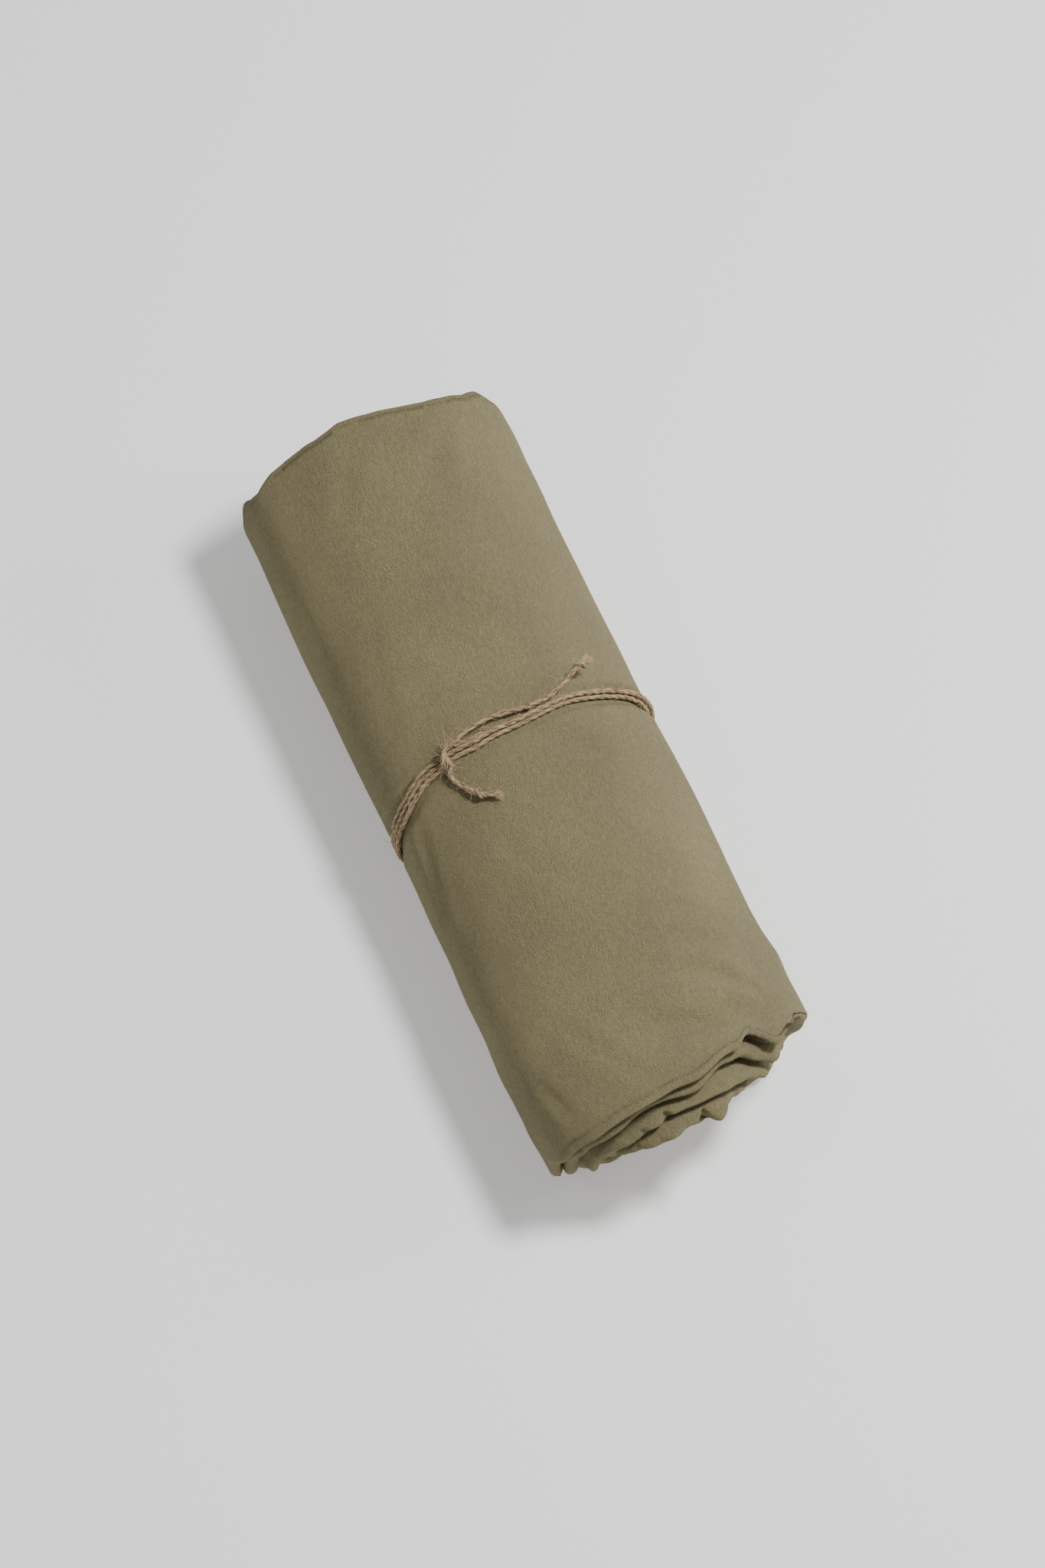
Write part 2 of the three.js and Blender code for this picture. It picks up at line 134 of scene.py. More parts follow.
@dataclass(frozen=True)
class RollForm:
    """The roll's outline: an oval that is flat where it lies, with hollows and the twine's waist."""

    widest_line: float = 43.0
    sag: float = 2.2
    round_top: float = 2.2
    round_bottom: float = 2.5
    girth_radius: float = 58.0
    # x, half width to the left, half width to the right, height
    stations: tuple = (
        (-176, 64.8, 66.2, 90.2), (-150, 65.0, 67.0, 90.6), (-100, 65.8, 66.6, 91.0),
        (-50, 65.4, 67.3, 91.2), (0, 64.9, 67.6, 91.0), (30, 64.4, 69.0, 91.0), (60, 64.8, 69.8, 91.2),
        (110, 65.7, 69.0, 91.4), (140, 66.5, 70.4, 91.6), (170, 66.2, 71.6, 91.6),
        (192, 64.6, 71.4, 91.4), (210, 64.2, 71.0, 91.2),
    )
    # x, angle, reach along x, reach round, depth (under 0 for a swelling)
    hollows: tuple = (
        (178, 72, 6, 24, 2.6), (186, 55, 7, 9, 1.6), (139, 62, 5, 22, 1.0), (120, 48, 5, 20, 0.8),
        (156, 40, 6, 18, 0.9), (143, 12, 8, 14, -1.4), (-145, 54, 16, 12, 1.6),
        (-150, 130, 18, 12, 1.0), (60, 150, 30, 10, 0.9), (-60, 25, 34, 12, 0.8),
        (100, 118, 26, 12, 0.7), (-90, 168, 30, 10, 1.0),
    )
    twine_angles: tuple = (-90, -30, 40, 66, 95, 120, 165, 225)
    twine_x: tuple = (6, 1, 0, 0.2, 5.2, 6.8, 14.5, 12)
    waist_angles: tuple = (-115, -65, 0, 35, 90, 135, 180)
    waist_depths: tuple = (3.3, 3.3, 3.6, 2.6, 0.9, 1.0, 2.2)
    waist_half: float = 4.6
    waist_fade: float = 10.0
    # Angles between which the wraps come together, on top and low on the right, and the narrower waist there
    bunched_top: tuple = (112.0, 94.0)
    bunched_low: tuple = (-62.0, -30.0)
    bunched_narrower: float = 1.3
    # Sines of the angle between which the cloth turns into its flat underside, which is pressed smooth
    underside: tuple = (-0.55, -0.9)

    def twine_line(self, angle: np.ndarray) -> np.ndarray:
        """The x of the wraps' middle line at an angle round the roll."""
        return read_ring(np.array(self.twine_angles, float), np.array(self.twine_x, float), angle)

    def bunched(self, angle: np.ndarray) -> np.ndarray:
        """How far the wraps have come together at an angle: 0 apart, 1 bunched."""
        turned = turn_between(0.0, angle)
        return eased(*self.bunched_top, turned) * eased(*self.bunched_low, turned)

    def waist(self, x: np.ndarray, angle: np.ndarray) -> np.ndarray:
        """How deep the wraps press the cloth in.

        Args:
            x: places along the roll.
            angle: angles round it.

        Returns:
            The table's depth under the wraps, eased out to both sides.
        """
        away = np.abs(x - self.twine_line(angle))
        depth = read_ring(np.array(self.waist_angles, float), np.array(self.waist_depths), angle)
        narrower = self.bunched_narrower * self.bunched(angle)
        return depth * (1 - eased(self.waist_half - narrower, self.waist_fade - 2 * narrower, away))

    def oval(self, x: np.ndarray, angle: np.ndarray, scale: np.ndarray) -> tuple[np.ndarray, np.ndarray]:
        """The plain section at x.

        Args:
            x: places along the roll.
            angle: angles round it.
            scale: the share of the full size, for the turns inside.

        Returns:
            y and z: each half width or height times |cos| or |sin| to the power 2 / n, with its sign.
        """
        table = np.array(self.stations, float)
        c, s = np.cos(np.radians(angle)), np.sin(np.radians(angle))
        power = 2.0 / np.where(s > 0, self.round_top, self.round_bottom)
        left = read_rows(table[:, 0], table[:, 1], x)
        right = read_rows(table[:, 0], table[:, 2], x)
        top = read_rows(table[:, 0], table[:, 3], x) - self.widest_line
        half = np.where(c > 0, right, left)
        rise = np.where(s > 0, top, self.widest_line + self.sag)
        y = scale * half * np.sign(c) * np.abs(c) ** power
        z = self.widest_line + scale * rise * np.sign(s) * np.abs(s) ** power
        return y, z

    def outward(self, x: np.ndarray, angle: np.ndarray) -> tuple[np.ndarray, np.ndarray]:
        """The way out of the full section.

        Args:
            x: places along the roll.
            angle: angles round it.

        Returns:
            y and z of a unit way, square to the line from a degree before the angle to a degree after it.
        """
        y0, z0 = self.oval(x, angle - 1.0, np.ones_like(angle))
        y1, z1 = self.oval(x, angle + 1.0, np.ones_like(angle))
        size = np.hypot(y1 - y0, z1 - z0) + 1e-9
        return (z1 - z0) / size, (y0 - y1) / size

    def place(self, x: np.ndarray, angle: np.ndarray, scale: np.ndarray, sink: np.ndarray) -> np.ndarray:
        """A place on the cloth.

        Args:
            x: places along the roll.
            angle: angles round it.
            scale: the share of the full size.
            sink: a further depth under the surface.

        Returns:
            Points, with the hollows, the waist and the sink taken off along the way out, and none under 0.
        """
        x, angle, scale, sink = np.broadcast_arrays(x, angle, scale, sink)
        for at_x, at_angle, along, around, depth in self.hollows:
            near = np.exp(-(((x - at_x) / along) ** 2) - (turn_between(at_angle, angle) / around) ** 2)
            sink = sink + depth * near
        y, z = self.oval(x, angle, scale)
        z = np.maximum(z, 0.0)
        out_y, out_z = self.outward(x, angle)
        under = eased(*self.underside, np.sin(np.radians(angle)))
        pressed = self.waist(x, angle)
        total = sink * (1 - under) + pressed
        y = y - total * out_y
        z = z - total * out_z
        z = np.where(under > 0.99, np.maximum(z, pressed), z)
        return np.stack([x, y, np.maximum(z, 0.0)], axis=-1)


def mesh_object(name: str, points: np.ndarray, faces: list[np.ndarray]) -> bpy.types.Object:
    """Makes a mesh object that shades as one soft surface.

    Args:
        name: the object's name.
        points: places in millimetres in the tables' frame.
        faces: arrays of corner numbers, one array for each number of corners.

    Returns:
        The object, at the origin, with its place in its mesh, in metres.
    """
    made = bpy.data.meshes.new(name)
    places = (points - FOOTPRINT_MIDDLE) * TO_METRES
    made.from_pydata(places.tolist(), [], [row for group in faces for row in group.tolist()])
    made.polygons.foreach_set("use_smooth", np.full(len(made.polygons), True))
    made.update()
    piece = bpy.data.objects.new(name, made)
    bpy.context.scene.collection.objects.link(piece)
    return piece


def ring_quads(start: int | np.ndarray, row: np.ndarray, column: np.ndarray, columns: int) -> np.ndarray:
    """Faces between the rows of a surface whose rows close into rings.

    Args:
        start: number of the surface's first point.
        row: each face's row.
        column: each face's column.
        columns: how many points a row has.

    Returns:
        Four point numbers a face: its column and the following one in its row, then both in the following row.
    """
    following = (column + 1) % columns
    low, high = start + row * columns, start + (row + 1) * columns
    return np.stack([low + column, low + following, high + following, high + column], axis=1)


def set_layer(piece: bpy.types.Object, name: str, corners: np.ndarray) -> None:
    """Writes a UV layer from one pair of numbers for each face corner, in the order of the faces."""
    layer = piece.data.uv_layers.get(name) or piece.data.uv_layers.new(name=name)
    layer.data.foreach_set("uv", corners.astype(np.float32).ravel())


def set_point_value(piece: bpy.types.Object, name: str, values: np.ndarray) -> None:
    """Writes one number for each point, for a material to read."""
    layer = piece.data.attributes.new(name, "FLOAT", "POINT")
    layer.data.foreach_set("value", values.astype(np.float32))


class RollEnd(Enum):
    """An end of the roll: its way along x."""

    NEAR = 1
    FAR = -1


@dataclass
class RolledSheet:
    """The folded band of cloth wound up: the outer turn, its outer edge and the folds at both ends."""

    form: RollForm = field(default_factory=RollForm)
    outer_edge_angle: float = 208.0
    turn_share: float = 0.155
    outer_edge_share: float = 0.6
    pressed_from: float = 0.86
    turns: int = 6
    columns: int = 252
    # Rows of the outer cloth: where those of each end begin and how many they are, and the others' steps
    near_rows_from: float = 150.0
    near_rows: int = 22
    far_rows_from: float = -140.0
    far_rows: int = 14
    row_step: float = 2.3
    twine_row_step: float = 1.1
    twine_rows_half: float = 13.2
    # Distances from the middle between which the rows stop following the twine
    rows_follow: tuple = (12.0, 45.0)
    denser_top: float = 0.3
    top_turn_share: float = 0.36
    first_lip_turn: float = 0.33
    lip_uneven: float = 0.6
    lip_angles: tuple = (-90, -50, -25, 0, 20, 32, 40, 50, 61, 70, 90, 115, 135, 160, 185, 225)
    near_lips: tuple = (
        (180, 174, 167, 173, 181, 184, 191, 197.5, 190, 197, 206, 208.5, 209.5, 206, 197, 188),
        (181, 175, 169, 174, 184, 193, 200, 198.5, 195.5, 197.5, 207, 206, 209.3, 205, 199.5, 190),
        (183, 178, 174, 184, 196, 200, 201.5, 203, 205.5, 207, 210, 213, 214, 210, 203, 196),
        (185, 181, 178, 186, 197, 201, 204, 207, 211, 215, 215.5, 217.5, 214.5, 209, 201, 193),
        (188, 184, 182, 186, 192, 196, 199, 203, 207, 210, 211, 213, 211, 207, 202, 196),
        (191, 188, 187, 189, 192, 195, 198, 200, 202, 204, 205, 206, 205, 203, 200, 196),
    )
    far_lips: tuple = (
        (-173, -172, -172, -173, -175, -176, -176, -175, -174, -173, -175, -173, -171, -171, -172, -171),
        (-171, -172, -173, -174, -175, -174, -173, -172, -171, -171, -170, -171, -172, -172, -172, -170),
        (-173, -172, -171, -170, -171, -172, -173, -174, -174, -174, -173, -171, -169, -168, -169, -171),
        (-170, -171, -173, -174, -174, -173, -171, -170, -170, -171, -172, -173, -172, -171, -170, -169),
        (-172, -171, -170, -170, -169, -170, -171, -172, -173, -173, -172, -170, -169, -170, -171, -172),
        (-168, -168, -168, -168, -168, -168, -168, -168, -168, -168, -168, -168, -168, -168, -168, -168),
    )
    # One folded edge in profile: how far back from its lip, and how deep in the turn's thickness
    lip_profile: tuple = (
        (3.4, 0.000), (1.9, 0.020), (0.9, 0.070), (0.25, 0.150), (0.0, 0.270), (0.2, 0.400),
        (0.8, 0.520), (1.8, 0.620), (3.2, 0.710), (4.8, 0.790), (6.2, 0.860), (6.6, 0.920),
        (5.6, 0.965), (4.4, 0.990),
    )
    # Places where the near end's folds push out or draw in: turn, angle, reach in turns, reach in degrees, push
    lobes: tuple = (
        (2.15, 181, 0.45, 13, 4.0), (2.95, 171, 0.30, 8, -3.0), (3.30, 152, 0.40, 12, 2.2),
        (3.12, 141, 0.24, 4.0, -3.6), (3.45, 129, 0.45, 9, 1.8), (3.15, 119, 0.24, 3.6, -3.4),
        (3.45, 109, 0.40, 7, 1.0), (3.15, 98, 0.24, 3.6, -3.4), (3.62, 75, 0.22, 5, 2.2),
        (3.62, 84, 0.40, 3.4, -6.0), (0.96, 54, 0.16, 7, -5.5), (3.45, 59, 0.45, 8, -3.0),
        (3.16, 76, 0.13, 7, -4.5), (2.55, 106, 0.32, 3.4, -4.2), (2.46, 123, 0.24, 3.4, -2.2),
        (2.30, 131, 0.20, 5.0, -1.6), (2.50, 37, 0.25, 6, 2.6), (1.50, 50, 0.12, 5, -3.5),
        (0.60, 41, 0.12, 4, -4.5), (0.80, 29, 0.22, 8, -4.0), (1.45, 193, 0.45, 10, 1.6),
        (0.72, 187, 0.30, 12, 4.6),
    )
    # Corners and dents of the far end's rim: angle, reach in degrees, push
    far_corners: tuple = ((36, 9, 2.2), (102, 12, 2.4), (130, 8, 0.8), (154, 13, -2.6), (172, 9, 2.2))
    # Soft creases of the outer cloth: x and angle of both ends, half width, depth
    creases: tuple = (
        (186, 66, 168, 96, 3.0, 0.91), (172, 44, 150, 74, 4.0, 1.17), (160, 60, 138, 100, 4.5, 0.78),
        (132, 40, 118, 72, 4.0, 0.65), (196, 104, 150, 128, 4.0, 0.65),
        (200, 140, 168, 152, 4.0, 0.78), (178, 20, 160, 48, 3.5, 0.91),
        (-166, 100, -120, 120, 4.5, 0.65), (-160, 62, -128, 84, 5.0, 0.65),
        (-70, 128, -20, 140, 5.0, 0.52), (36, 60, 10, 92, 5.0, 0.52), (-26, 76, -52, 110, 5.0, 0.52),
        (90, 100, 40, 122, 5.0, 0.52), (20, 150, 80, 168, 5.0, 0.65),
    )
    # Depth of the broad and fine swellings by the far end, how much more by the near one, and where
    broad_depth: tuple = (0.40, 0.40)
    fine_depth: tuple = (0.08, 0.10)
    more_uneven: tuple = (40.0, 190.0)
    # The crumpled core: turns between which it begins, waves round it with their shift a turn, and depths
    core: tuple = (2.6, 4.6)
    core_waves: tuple = ((7, 2.1), (11, 4.3))
    core_crumple: float = 0.7
    core_shallower: float = 0.3
    wobble: float = 0.006
    # The band's outer edge in profile: how far past it in turns, and how deep in the cloth's thickness
    edge_profile: tuple = ((0.012, 0.93), (0.016, 0.72), (0.012, 0.45), (0.004, 0.16), (0.0004, 0.03))
    # The baking layer: the outer cloth's share of its height, and where each end's strip begins and its height
    baked_body: float = 0.6
    baked_from: tuple = (0.62, 0.82)
    baked_end: float = 0.17

    def column_shares(self) -> np.ndarray:
        """Each column's share of the way round from the outer edge.

        Returns:
            Even shares v less d / 2 pi (sin(2 pi v - s) + sin s), which lie closer together on top.
        """
        v = np.arange(self.columns) / self.columns
        start = 2 * math.pi * self.top_turn_share
        wave = np.sin(2 * math.pi * v - start) + math.sin(start)
        return v - (self.denser_top / (2 * math.pi)) * wave

    def turn_scale(self, turn: np.ndarray) -> np.ndarray:
        """The share of the roll's size at which a turn's outer face lies.

        Args:
            turn: whole and part turns counted from the outer edge.

        Returns:
            1 less the turns' thickness times the turns over it, with the outer edge pressed flatter.
        """
        first = self.outer_edge_share * eased(self.pressed_from, 1.0, turn)
        wound = np.where(turn <= 1, first, self.outer_edge_share + turn - 1)
        return np.maximum(0.03, 1 - self.turn_share * wound)

    def lip(self, end: RollEnd, turn: np.ndarray, angle: np.ndarray) -> np.ndarray:
        """The x at which the folded edge ends.

        Args:
            end: the roll's end.
            turn: whole and part turns counted from the outer edge.
            angle: angles round the roll.

        Returns:
            The tables' value between the two nearest rows, with a fine unevenness of the fold.
        """
        rows = np.array(self.near_lips if end is RollEnd.NEAR else self.far_lips, float)
        row = np.clip(turn - self.first_lip_turn, 0, len(rows) - 1.001)
        low = row.astype(int)
        keys = np.array(self.lip_angles, float)
        read = np.stack([read_ring(keys, values, angle) for values in rows])
        pick = np.indices(angle.shape)
        outer, inner = read[(low, *pick)], read[(low + 1, *pick)]
        arc = np.radians(angle) * self.form.girth_radius * self.turn_scale(turn)
        fine = SoftNoise(seed=11 + end.value, waves=16, shortest=11, longest=44).read(arc, turn * 40)
        edge = outer + (inner - outer) * (row - low) + self.lip_uneven * fine
        if end is RollEnd.FAR:
            for at_angle, degrees, size in self.far_corners:
                tent = np.clip(1 - np.abs(turn_between(at_angle, angle)) / degrees, 0, 1)
                edge = edge - size * tent * eased(1.3, 0.7, turn)
        return edge

    def uneven(self, x: np.ndarray, angle: np.ndarray) -> np.ndarray:
        """How deep the outer cloth lies under its plain form.

        Args:
            x: places along the roll.
            angle: angles round it.

        Returns:
            Swellings, deeper by the near end and quiet by the twine, and a trough with a raised side
            along each crease: exp(-a^2) - 0.5 exp(-(a - 1.7)^2), where a is the distance over the half width.
        """
        arc = np.radians(angle) * self.form.girth_radius
        near = eased(*self.more_uneven, x)
        broad = SoftNoise(seed=3, waves=14, shortest=22, longest=80).read(x + 0.45 * arc, arc, 2.2)
        fine = SoftNoise(seed=5, waves=22, shortest=7, longest=20).read(x + 0.5 * arc, arc, 2.0)
        quiet = 1 - 0.75 * (1 - eased(6, 20, np.abs(x - self.form.twine_line(angle))))
        (broad_far, broad_more), (fine_far, fine_more) = self.broad_depth, self.fine_depth
        sink = quiet * ((broad_far + broad_more * near) * broad + (fine_far + fine_more * near) * fine)
        for x0, a0, x1, a1, half, depth in self.creases:
            s0, s1 = np.radians(a0) * self.form.girth_radius, np.radians(a1) * self.form.girth_radius
            way = np.array([x1 - x0, s1 - s0])
            share = np.clip(((x - x0) * way[0] + (arc - s0) * way[1]) / (way @ way), 0, 1)
            away = np.hypot(x - x0 - share * way[0], arc - s0 - share * way[1]) / half
            ends = np.sin(math.pi * np.clip(share, 0.06, 0.94)) ** 0.7
            sink = sink + depth * ends * (np.exp(-(away**2)) - 0.5 * np.exp(-((away - 1.7) ** 2)))
        return sink

    def body_rows(self, near_edge: np.ndarray, far_edge: np.ndarray, angle: np.ndarray) -> np.ndarray:
        """The x of each row of the outer cloth, from the near edge to the far one.

        Args:
            near_edge: the x of the near end's edge in each column.
            far_edge: the same at the far end.
            angle: each column's angle.

        Returns:
            Rows by columns: even rows near each edge, then rows that follow the twine near the middle.
        """
        start, stop, half = self.near_rows_from, self.far_rows_from, self.twine_rows_half
        shares = np.arange(self.near_rows, 0, -1)[:, None] / self.near_rows
        near = start + shares * (near_edge - start)
        plain = np.arange(start, stop - 0.1, -self.row_step)
        fine = np.arange(-half, half + 0.1, self.twine_row_step)
        middle = np.unique(np.concatenate([plain[np.abs(plain) > half + 1.0], fine]))[::-1]
        follow = 1 - eased(*self.rows_follow, np.abs(middle))
        middle = middle[:, None] + follow[:, None] * self.form.twine_line(angle)[None, :]
        shares = np.arange(1, self.far_rows + 1)[:, None] / self.far_rows
        far = stop + shares * (far_edge - stop)
        return np.concatenate([near, middle, far])

    def end_rows(self, end: RollEnd, share: np.ndarray, angle: np.ndarray) -> np.ndarray:
        """The rows of folds at one end, from the outermost lip to the core.

        Args:
            end: the roll's end.
            share: each column's share of the way round.
            angle: each column's angle.

        Returns:
            Rows by columns of points: each turn repeats the lip's profile, deeper by the turn's thickness.
        """
        profile = np.array(self.lip_profile)
        per_turn = len(profile)
        number = np.arange(self.turns * per_turn)
        whole = (number // per_turn)[:, None]
        turn = whole + share[None, :]
        back, depth = (profile[number % per_turn, i][:, None] for i in range(2))
        around = np.broadcast_to(angle, turn.shape)
        in_core = eased(*self.core, turn)
        wave = sum(np.sin(np.radians(around) * waves + whole * shift) for waves, shift in self.core_waves)
        crumple = self.core_crumple * in_core * wave
        depth_turn = turn + depth
        push = np.zeros(turn.shape)
        if end is RollEnd.NEAR:
            for at_turn, at_angle, turns, degrees, size in self.lobes:
                away = ((depth_turn - at_turn) / turns) ** 2 + (turn_between(at_angle, around) / degrees) ** 2
                push = push + size * np.exp(-away)
        shallow = 1 - self.core_shallower * in_core
        x = self.lip(end, turn, around) - end.value * (back * shallow - crumple - push)
        outer, inner = self.turn_scale(turn), self.turn_scale(turn + 1)
        arc = np.radians(around) * self.form.girth_radius
        sway = SoftNoise(seed=21 + end.value, waves=14, shortest=12, longest=50).read(arc, depth_turn * 30)
        scale = outer + (inner - outer) * depth + self.wobble * sway * eased(0.0, 0.5, depth_turn)
        first = (number < 3)[:, None]
        sink = np.where(first, self.uneven(x, around) * (1 - number[:, None] / 3.0), 0.0)
        return self.form.place(x, around, np.maximum(scale, 0.02), sink)

    def band_edge(self, body_x: np.ndarray) -> np.ndarray:
        """The band's outer edge, rounded.

        Args:
            body_x: the x of the outer cloth's rows.

        Returns:
            Rows by columns of points, from under the edge and round its fold to the outer face's first column.
        """
        turns, depths = np.array(self.edge_profile).T
        angle = np.broadcast_to(self.outer_edge_angle + 360.0 * turns, (len(body_x), len(turns)))
        inner = self.turn_scale(np.array([0.9999]))[0]
        scale = 1.0 + (inner - 1.0) * depths
        blend = np.linspace(0, 1, len(turns))
        x = body_x[:, -1:] + (body_x[:, :1] - body_x[:, -1:]) * blend
        return self.form.place(x, angle, scale, self.uneven(x, angle))

    def body_faces(self, body: np.ndarray, body_x: np.ndarray) -> tuple[list[np.ndarray], list[np.ndarray]]:
        """Faces of the outer cloth.

        Args:
            body: its points, rows by columns, with the band's outer edge.
            body_x: the x of its rows.

        Returns:
            Arrays of faces and of their corners in the baking layer: the way round by the way along.
        """
        rows, cols = np.indices((body.shape[0] - 1, body.shape[1])).reshape(2, -1)
        steps = np.linalg.norm(np.diff(body[len(body) // 3], axis=0), axis=1)
        arc = np.concatenate([[0], np.cumsum(steps)])
        arc = np.append(arc, arc[-1] + 0.6)
        arc = arc / arc[-1]
        line = body_x[:, self.columns // 3]
        down = (line[0] - line) / (line[0] - line[-1]) * self.baked_body
        u0, u1, v0, v1 = arc[cols], arc[cols + 1], down[rows], down[rows + 1]
        laid = np.stack([u0, v0, u1, v0, u1, v1, u0, v1], axis=1)
        return [ring_quads(0, rows, cols, body.shape[1])], [laid]

    def build(self) -> bpy.types.Object:
        """Joins the outer cloth and both ends into one closed surface.

        Returns:
            The piece, with its own baking layer: outer cloth, near folds and far folds, one above another.
        """
        share = self.column_shares()
        angle = self.outer_edge_angle - 360.0 * share
        profile_back = self.lip_profile[0][0]
        near_edge = self.lip(RollEnd.NEAR, share, angle) - profile_back
        far_edge = self.lip(RollEnd.FAR, share, angle) + profile_back
        body_x = self.body_rows(near_edge, far_edge, angle)
        scale, angles = (np.broadcast_to(values, body_x.shape) for values in (self.turn_scale(share), angle))
        body = self.form.place(body_x, angles, scale, self.uneven(body_x, angles))
        body = np.concatenate([body, self.band_edge(body_x)], axis=1)
        faces, corners = self.body_faces(body, body_x)

        ends = [self.end_rows(end, share, angle) for end in RollEnd]
        points = [part.reshape(-1, 3) for part in (body, *ends)]
        start, spare = len(points[0]), sum(len(part) for part in points)
        joints = (0, len(points[0]) - body.shape[1])
        for end, rows, joint, low in zip(RollEnd, ends, joints, self.baked_from):
            made, laid = self.end_faces(end, start, joint, spare, body.shape[1], low)
            faces += made
            corners += laid
            inwards = np.array([[-end.value, 0, 0]])
            points.append(rows[-1].mean(axis=0)[None, :] + 3.0 * inwards)
            points.append(rows[0, :1] + 1.5 * inwards)
            start += rows.shape[0] * rows.shape[1]
            spare += 2

        piece = mesh_object("sheet_rolled", np.concatenate(points), faces)
        set_layer(piece, BAKE_LAYER, np.concatenate([c.reshape(-1, 2) for c in corners]))
        return piece

    def end_faces(
        self, end: RollEnd, start: int, joint: int, spare: int, body_columns: int, low: float
    ) -> tuple[list[np.ndarray], list[np.ndarray]]:
        """Faces of one end's folds.

        Args:
            end: the roll's end.
            start: number of the end's first point.
            joint: number of the first point of the outer cloth's row that meets it.
            spare: number of the core's middle point, and after it the band edge's middle point.
            body_columns: columns of the outer cloth, with the band's outer edge.
            low: where the end's strip begins in the baking layer.

        Returns:
            Arrays of faces and of their corners in the baking layer.
        """
        count, per_turn = self.columns, len(self.lip_profile)
        last = self.turns * per_turn - 1
        faces: list[np.ndarray] = []
        corners: list[np.ndarray] = []

        def strip(upper: np.ndarray, lower: np.ndarray, number: int, shares: np.ndarray) -> None:
            """Adds the faces between two rows of points, facing out at this end.

            Args:
                upper: point numbers of the outer row.
                lower: point numbers of the inner row.
                number: the outer row's place in the baking layer.
                shares: each point's share of the layer's width.
            """
            quads = np.stack([lower[:-1], lower[1:], upper[1:], upper[:-1]], axis=1)
            u0, u1 = shares[:-1], shares[1:]
            v0, v1 = (np.full(len(u0), low + self.baked_end * at / (last + 2)) for at in (number + 1, number))
            laid = np.stack([u0, v0, u1, v0, u1, v1, u0, v1], axis=1)
            if end is RollEnd.FAR:
                quads, laid = quads[:, ::-1], laid.reshape(-1, 4, 2)[:, ::-1].reshape(-1, 8)
            faces.append(quads)
            corners.append(laid)

        across = np.arange(count) / count
        row = [start + i * count + np.arange(count) for i in range(last + 1)]
        strip(joint + np.arange(count), row[0], 0, across)
        for i in range(last):
            strip(row[i], row[i + 1], i + 1, across)
        seam = np.array([1 - 1 / count, 1.0])
        for i in range(last - per_turn):
            upper, lower = (np.array([row[at][-1], row[at + per_turn][0]]) for at in (i, i + 1))
            strip(upper, lower, i + 1, seam)

        # The closing rounds: the core round its middle point, and the band's own edge round its middle point
        core = [*row[last], *(row[i][-1] for i in range(last - 1, last - per_turn - 1, -1))]
        edge = [*range(joint + count - 1, joint + body_columns), joint]
        edge += [*(row[i][0] for i in range(per_turn + 1)), row[0][-1]]
        for ring, middle, height in ((core, spare, 0.99), (edge, spare + 1, 0.995)):
            fan = np.stack([ring, np.full(len(ring), middle), np.roll(ring, -1)], axis=1)
            faces.append(fan if end is RollEnd.NEAR else fan[:, ::-1])
            v = low + self.baked_end * height
            corners.append(np.tile([0.4, v, 0.401, v, 0.4, v + 0.0005], (len(ring), 1)))
        return faces, corners


def smooth_path(points: np.ndarray, step: float) -> np.ndarray:
    """Points at even steps along a smooth curve through given ones.

    Args:
        points: the given places.
        step: the wanted distance between the new points.

    Returns:
        Points on the cubic through each pair with slopes from its neighbours, evened out.
    """
    padded = np.concatenate([[2 * points[0] - points[1]], points, [2 * points[-1] - points[-2]]])
    t = np.linspace(0, 1, 24, endpoint=False)[:, None, None]
    p0, p1, p2, p3 = (padded[i : len(padded) - 3 + i][None] for i in range(4))
    square, cube = 2 * p0 - 5 * p1 + 4 * p2 - p3, 3 * p1 - p0 - 3 * p2 + p3
    curve = 0.5 * (2 * p1 + (p2 - p0) * t + square * t**2 + cube * t**3)
    curve = np.concatenate([curve.transpose(1, 0, 2).reshape(-1, 3), points[-1:]])
    length = np.concatenate([[0], np.cumsum(np.linalg.norm(np.diff(curve, axis=0), axis=1))])
    wanted = np.linspace(0, length[-1], max(4, int(round(length[-1] / step)) + 1))
    return np.stack([np.interp(wanted, length, curve[:, i]) for i in range(3)], axis=1)


def path_sides(path: np.ndarray, side: np.ndarray) -> tuple[np.ndarray, np.ndarray]:
    """Two ways square to a path at each of its points.

    Args:
        path: the path's points.
        side: a fixed direction, which keeps the ways from turning about the path.

    Returns:
        The unit cross of the side and the path's way, and the unit way square to both that and the path.
    """
    way = np.gradient(path, axis=0)
    way /= np.linalg.norm(way, axis=1)[:, None] + 1e-12
    first = np.cross(np.broadcast_to(side, way.shape), way)
    first /= np.linalg.norm(first, axis=1)[:, None] + 1e-12
    return first, np.cross(way, first)


@dataclass(frozen=True)
class Ply:
    """Two-ply jute twine: its thickness, how fast its two plies wind, and how the surface is cut into faces."""

    diameter: float = 2.5
    pitch: float = 9.0
    sides: int = 18
    step: float = 0.55
    offset_share: float = 0.11
    ply_share: float = 0.39
    # How much its thickness swells along it, how unevenly it winds in radians, and how far its fibres stand out
    swelling: float = 0.07
    loose_twist: float = 0.35
    fibre_relief: float = 0.036

    def radius(self, turn: np.ndarray) -> np.ndarray:
        """The surface's distance from the middle line at an angle from the first ply.

        Args:
            turn: angle from the first ply, in radians.

        Returns:
            d |cos| + sqrt(r^2 - d^2 sin^2), the outline of two round plies of radius r at d to either side.
        """
        out, ply = self.offset_share * self.diameter, self.ply_share * self.diameter
        return out * np.abs(np.cos(turn)) + np.sqrt(ply**2 - (out * np.sin(turn)) ** 2)


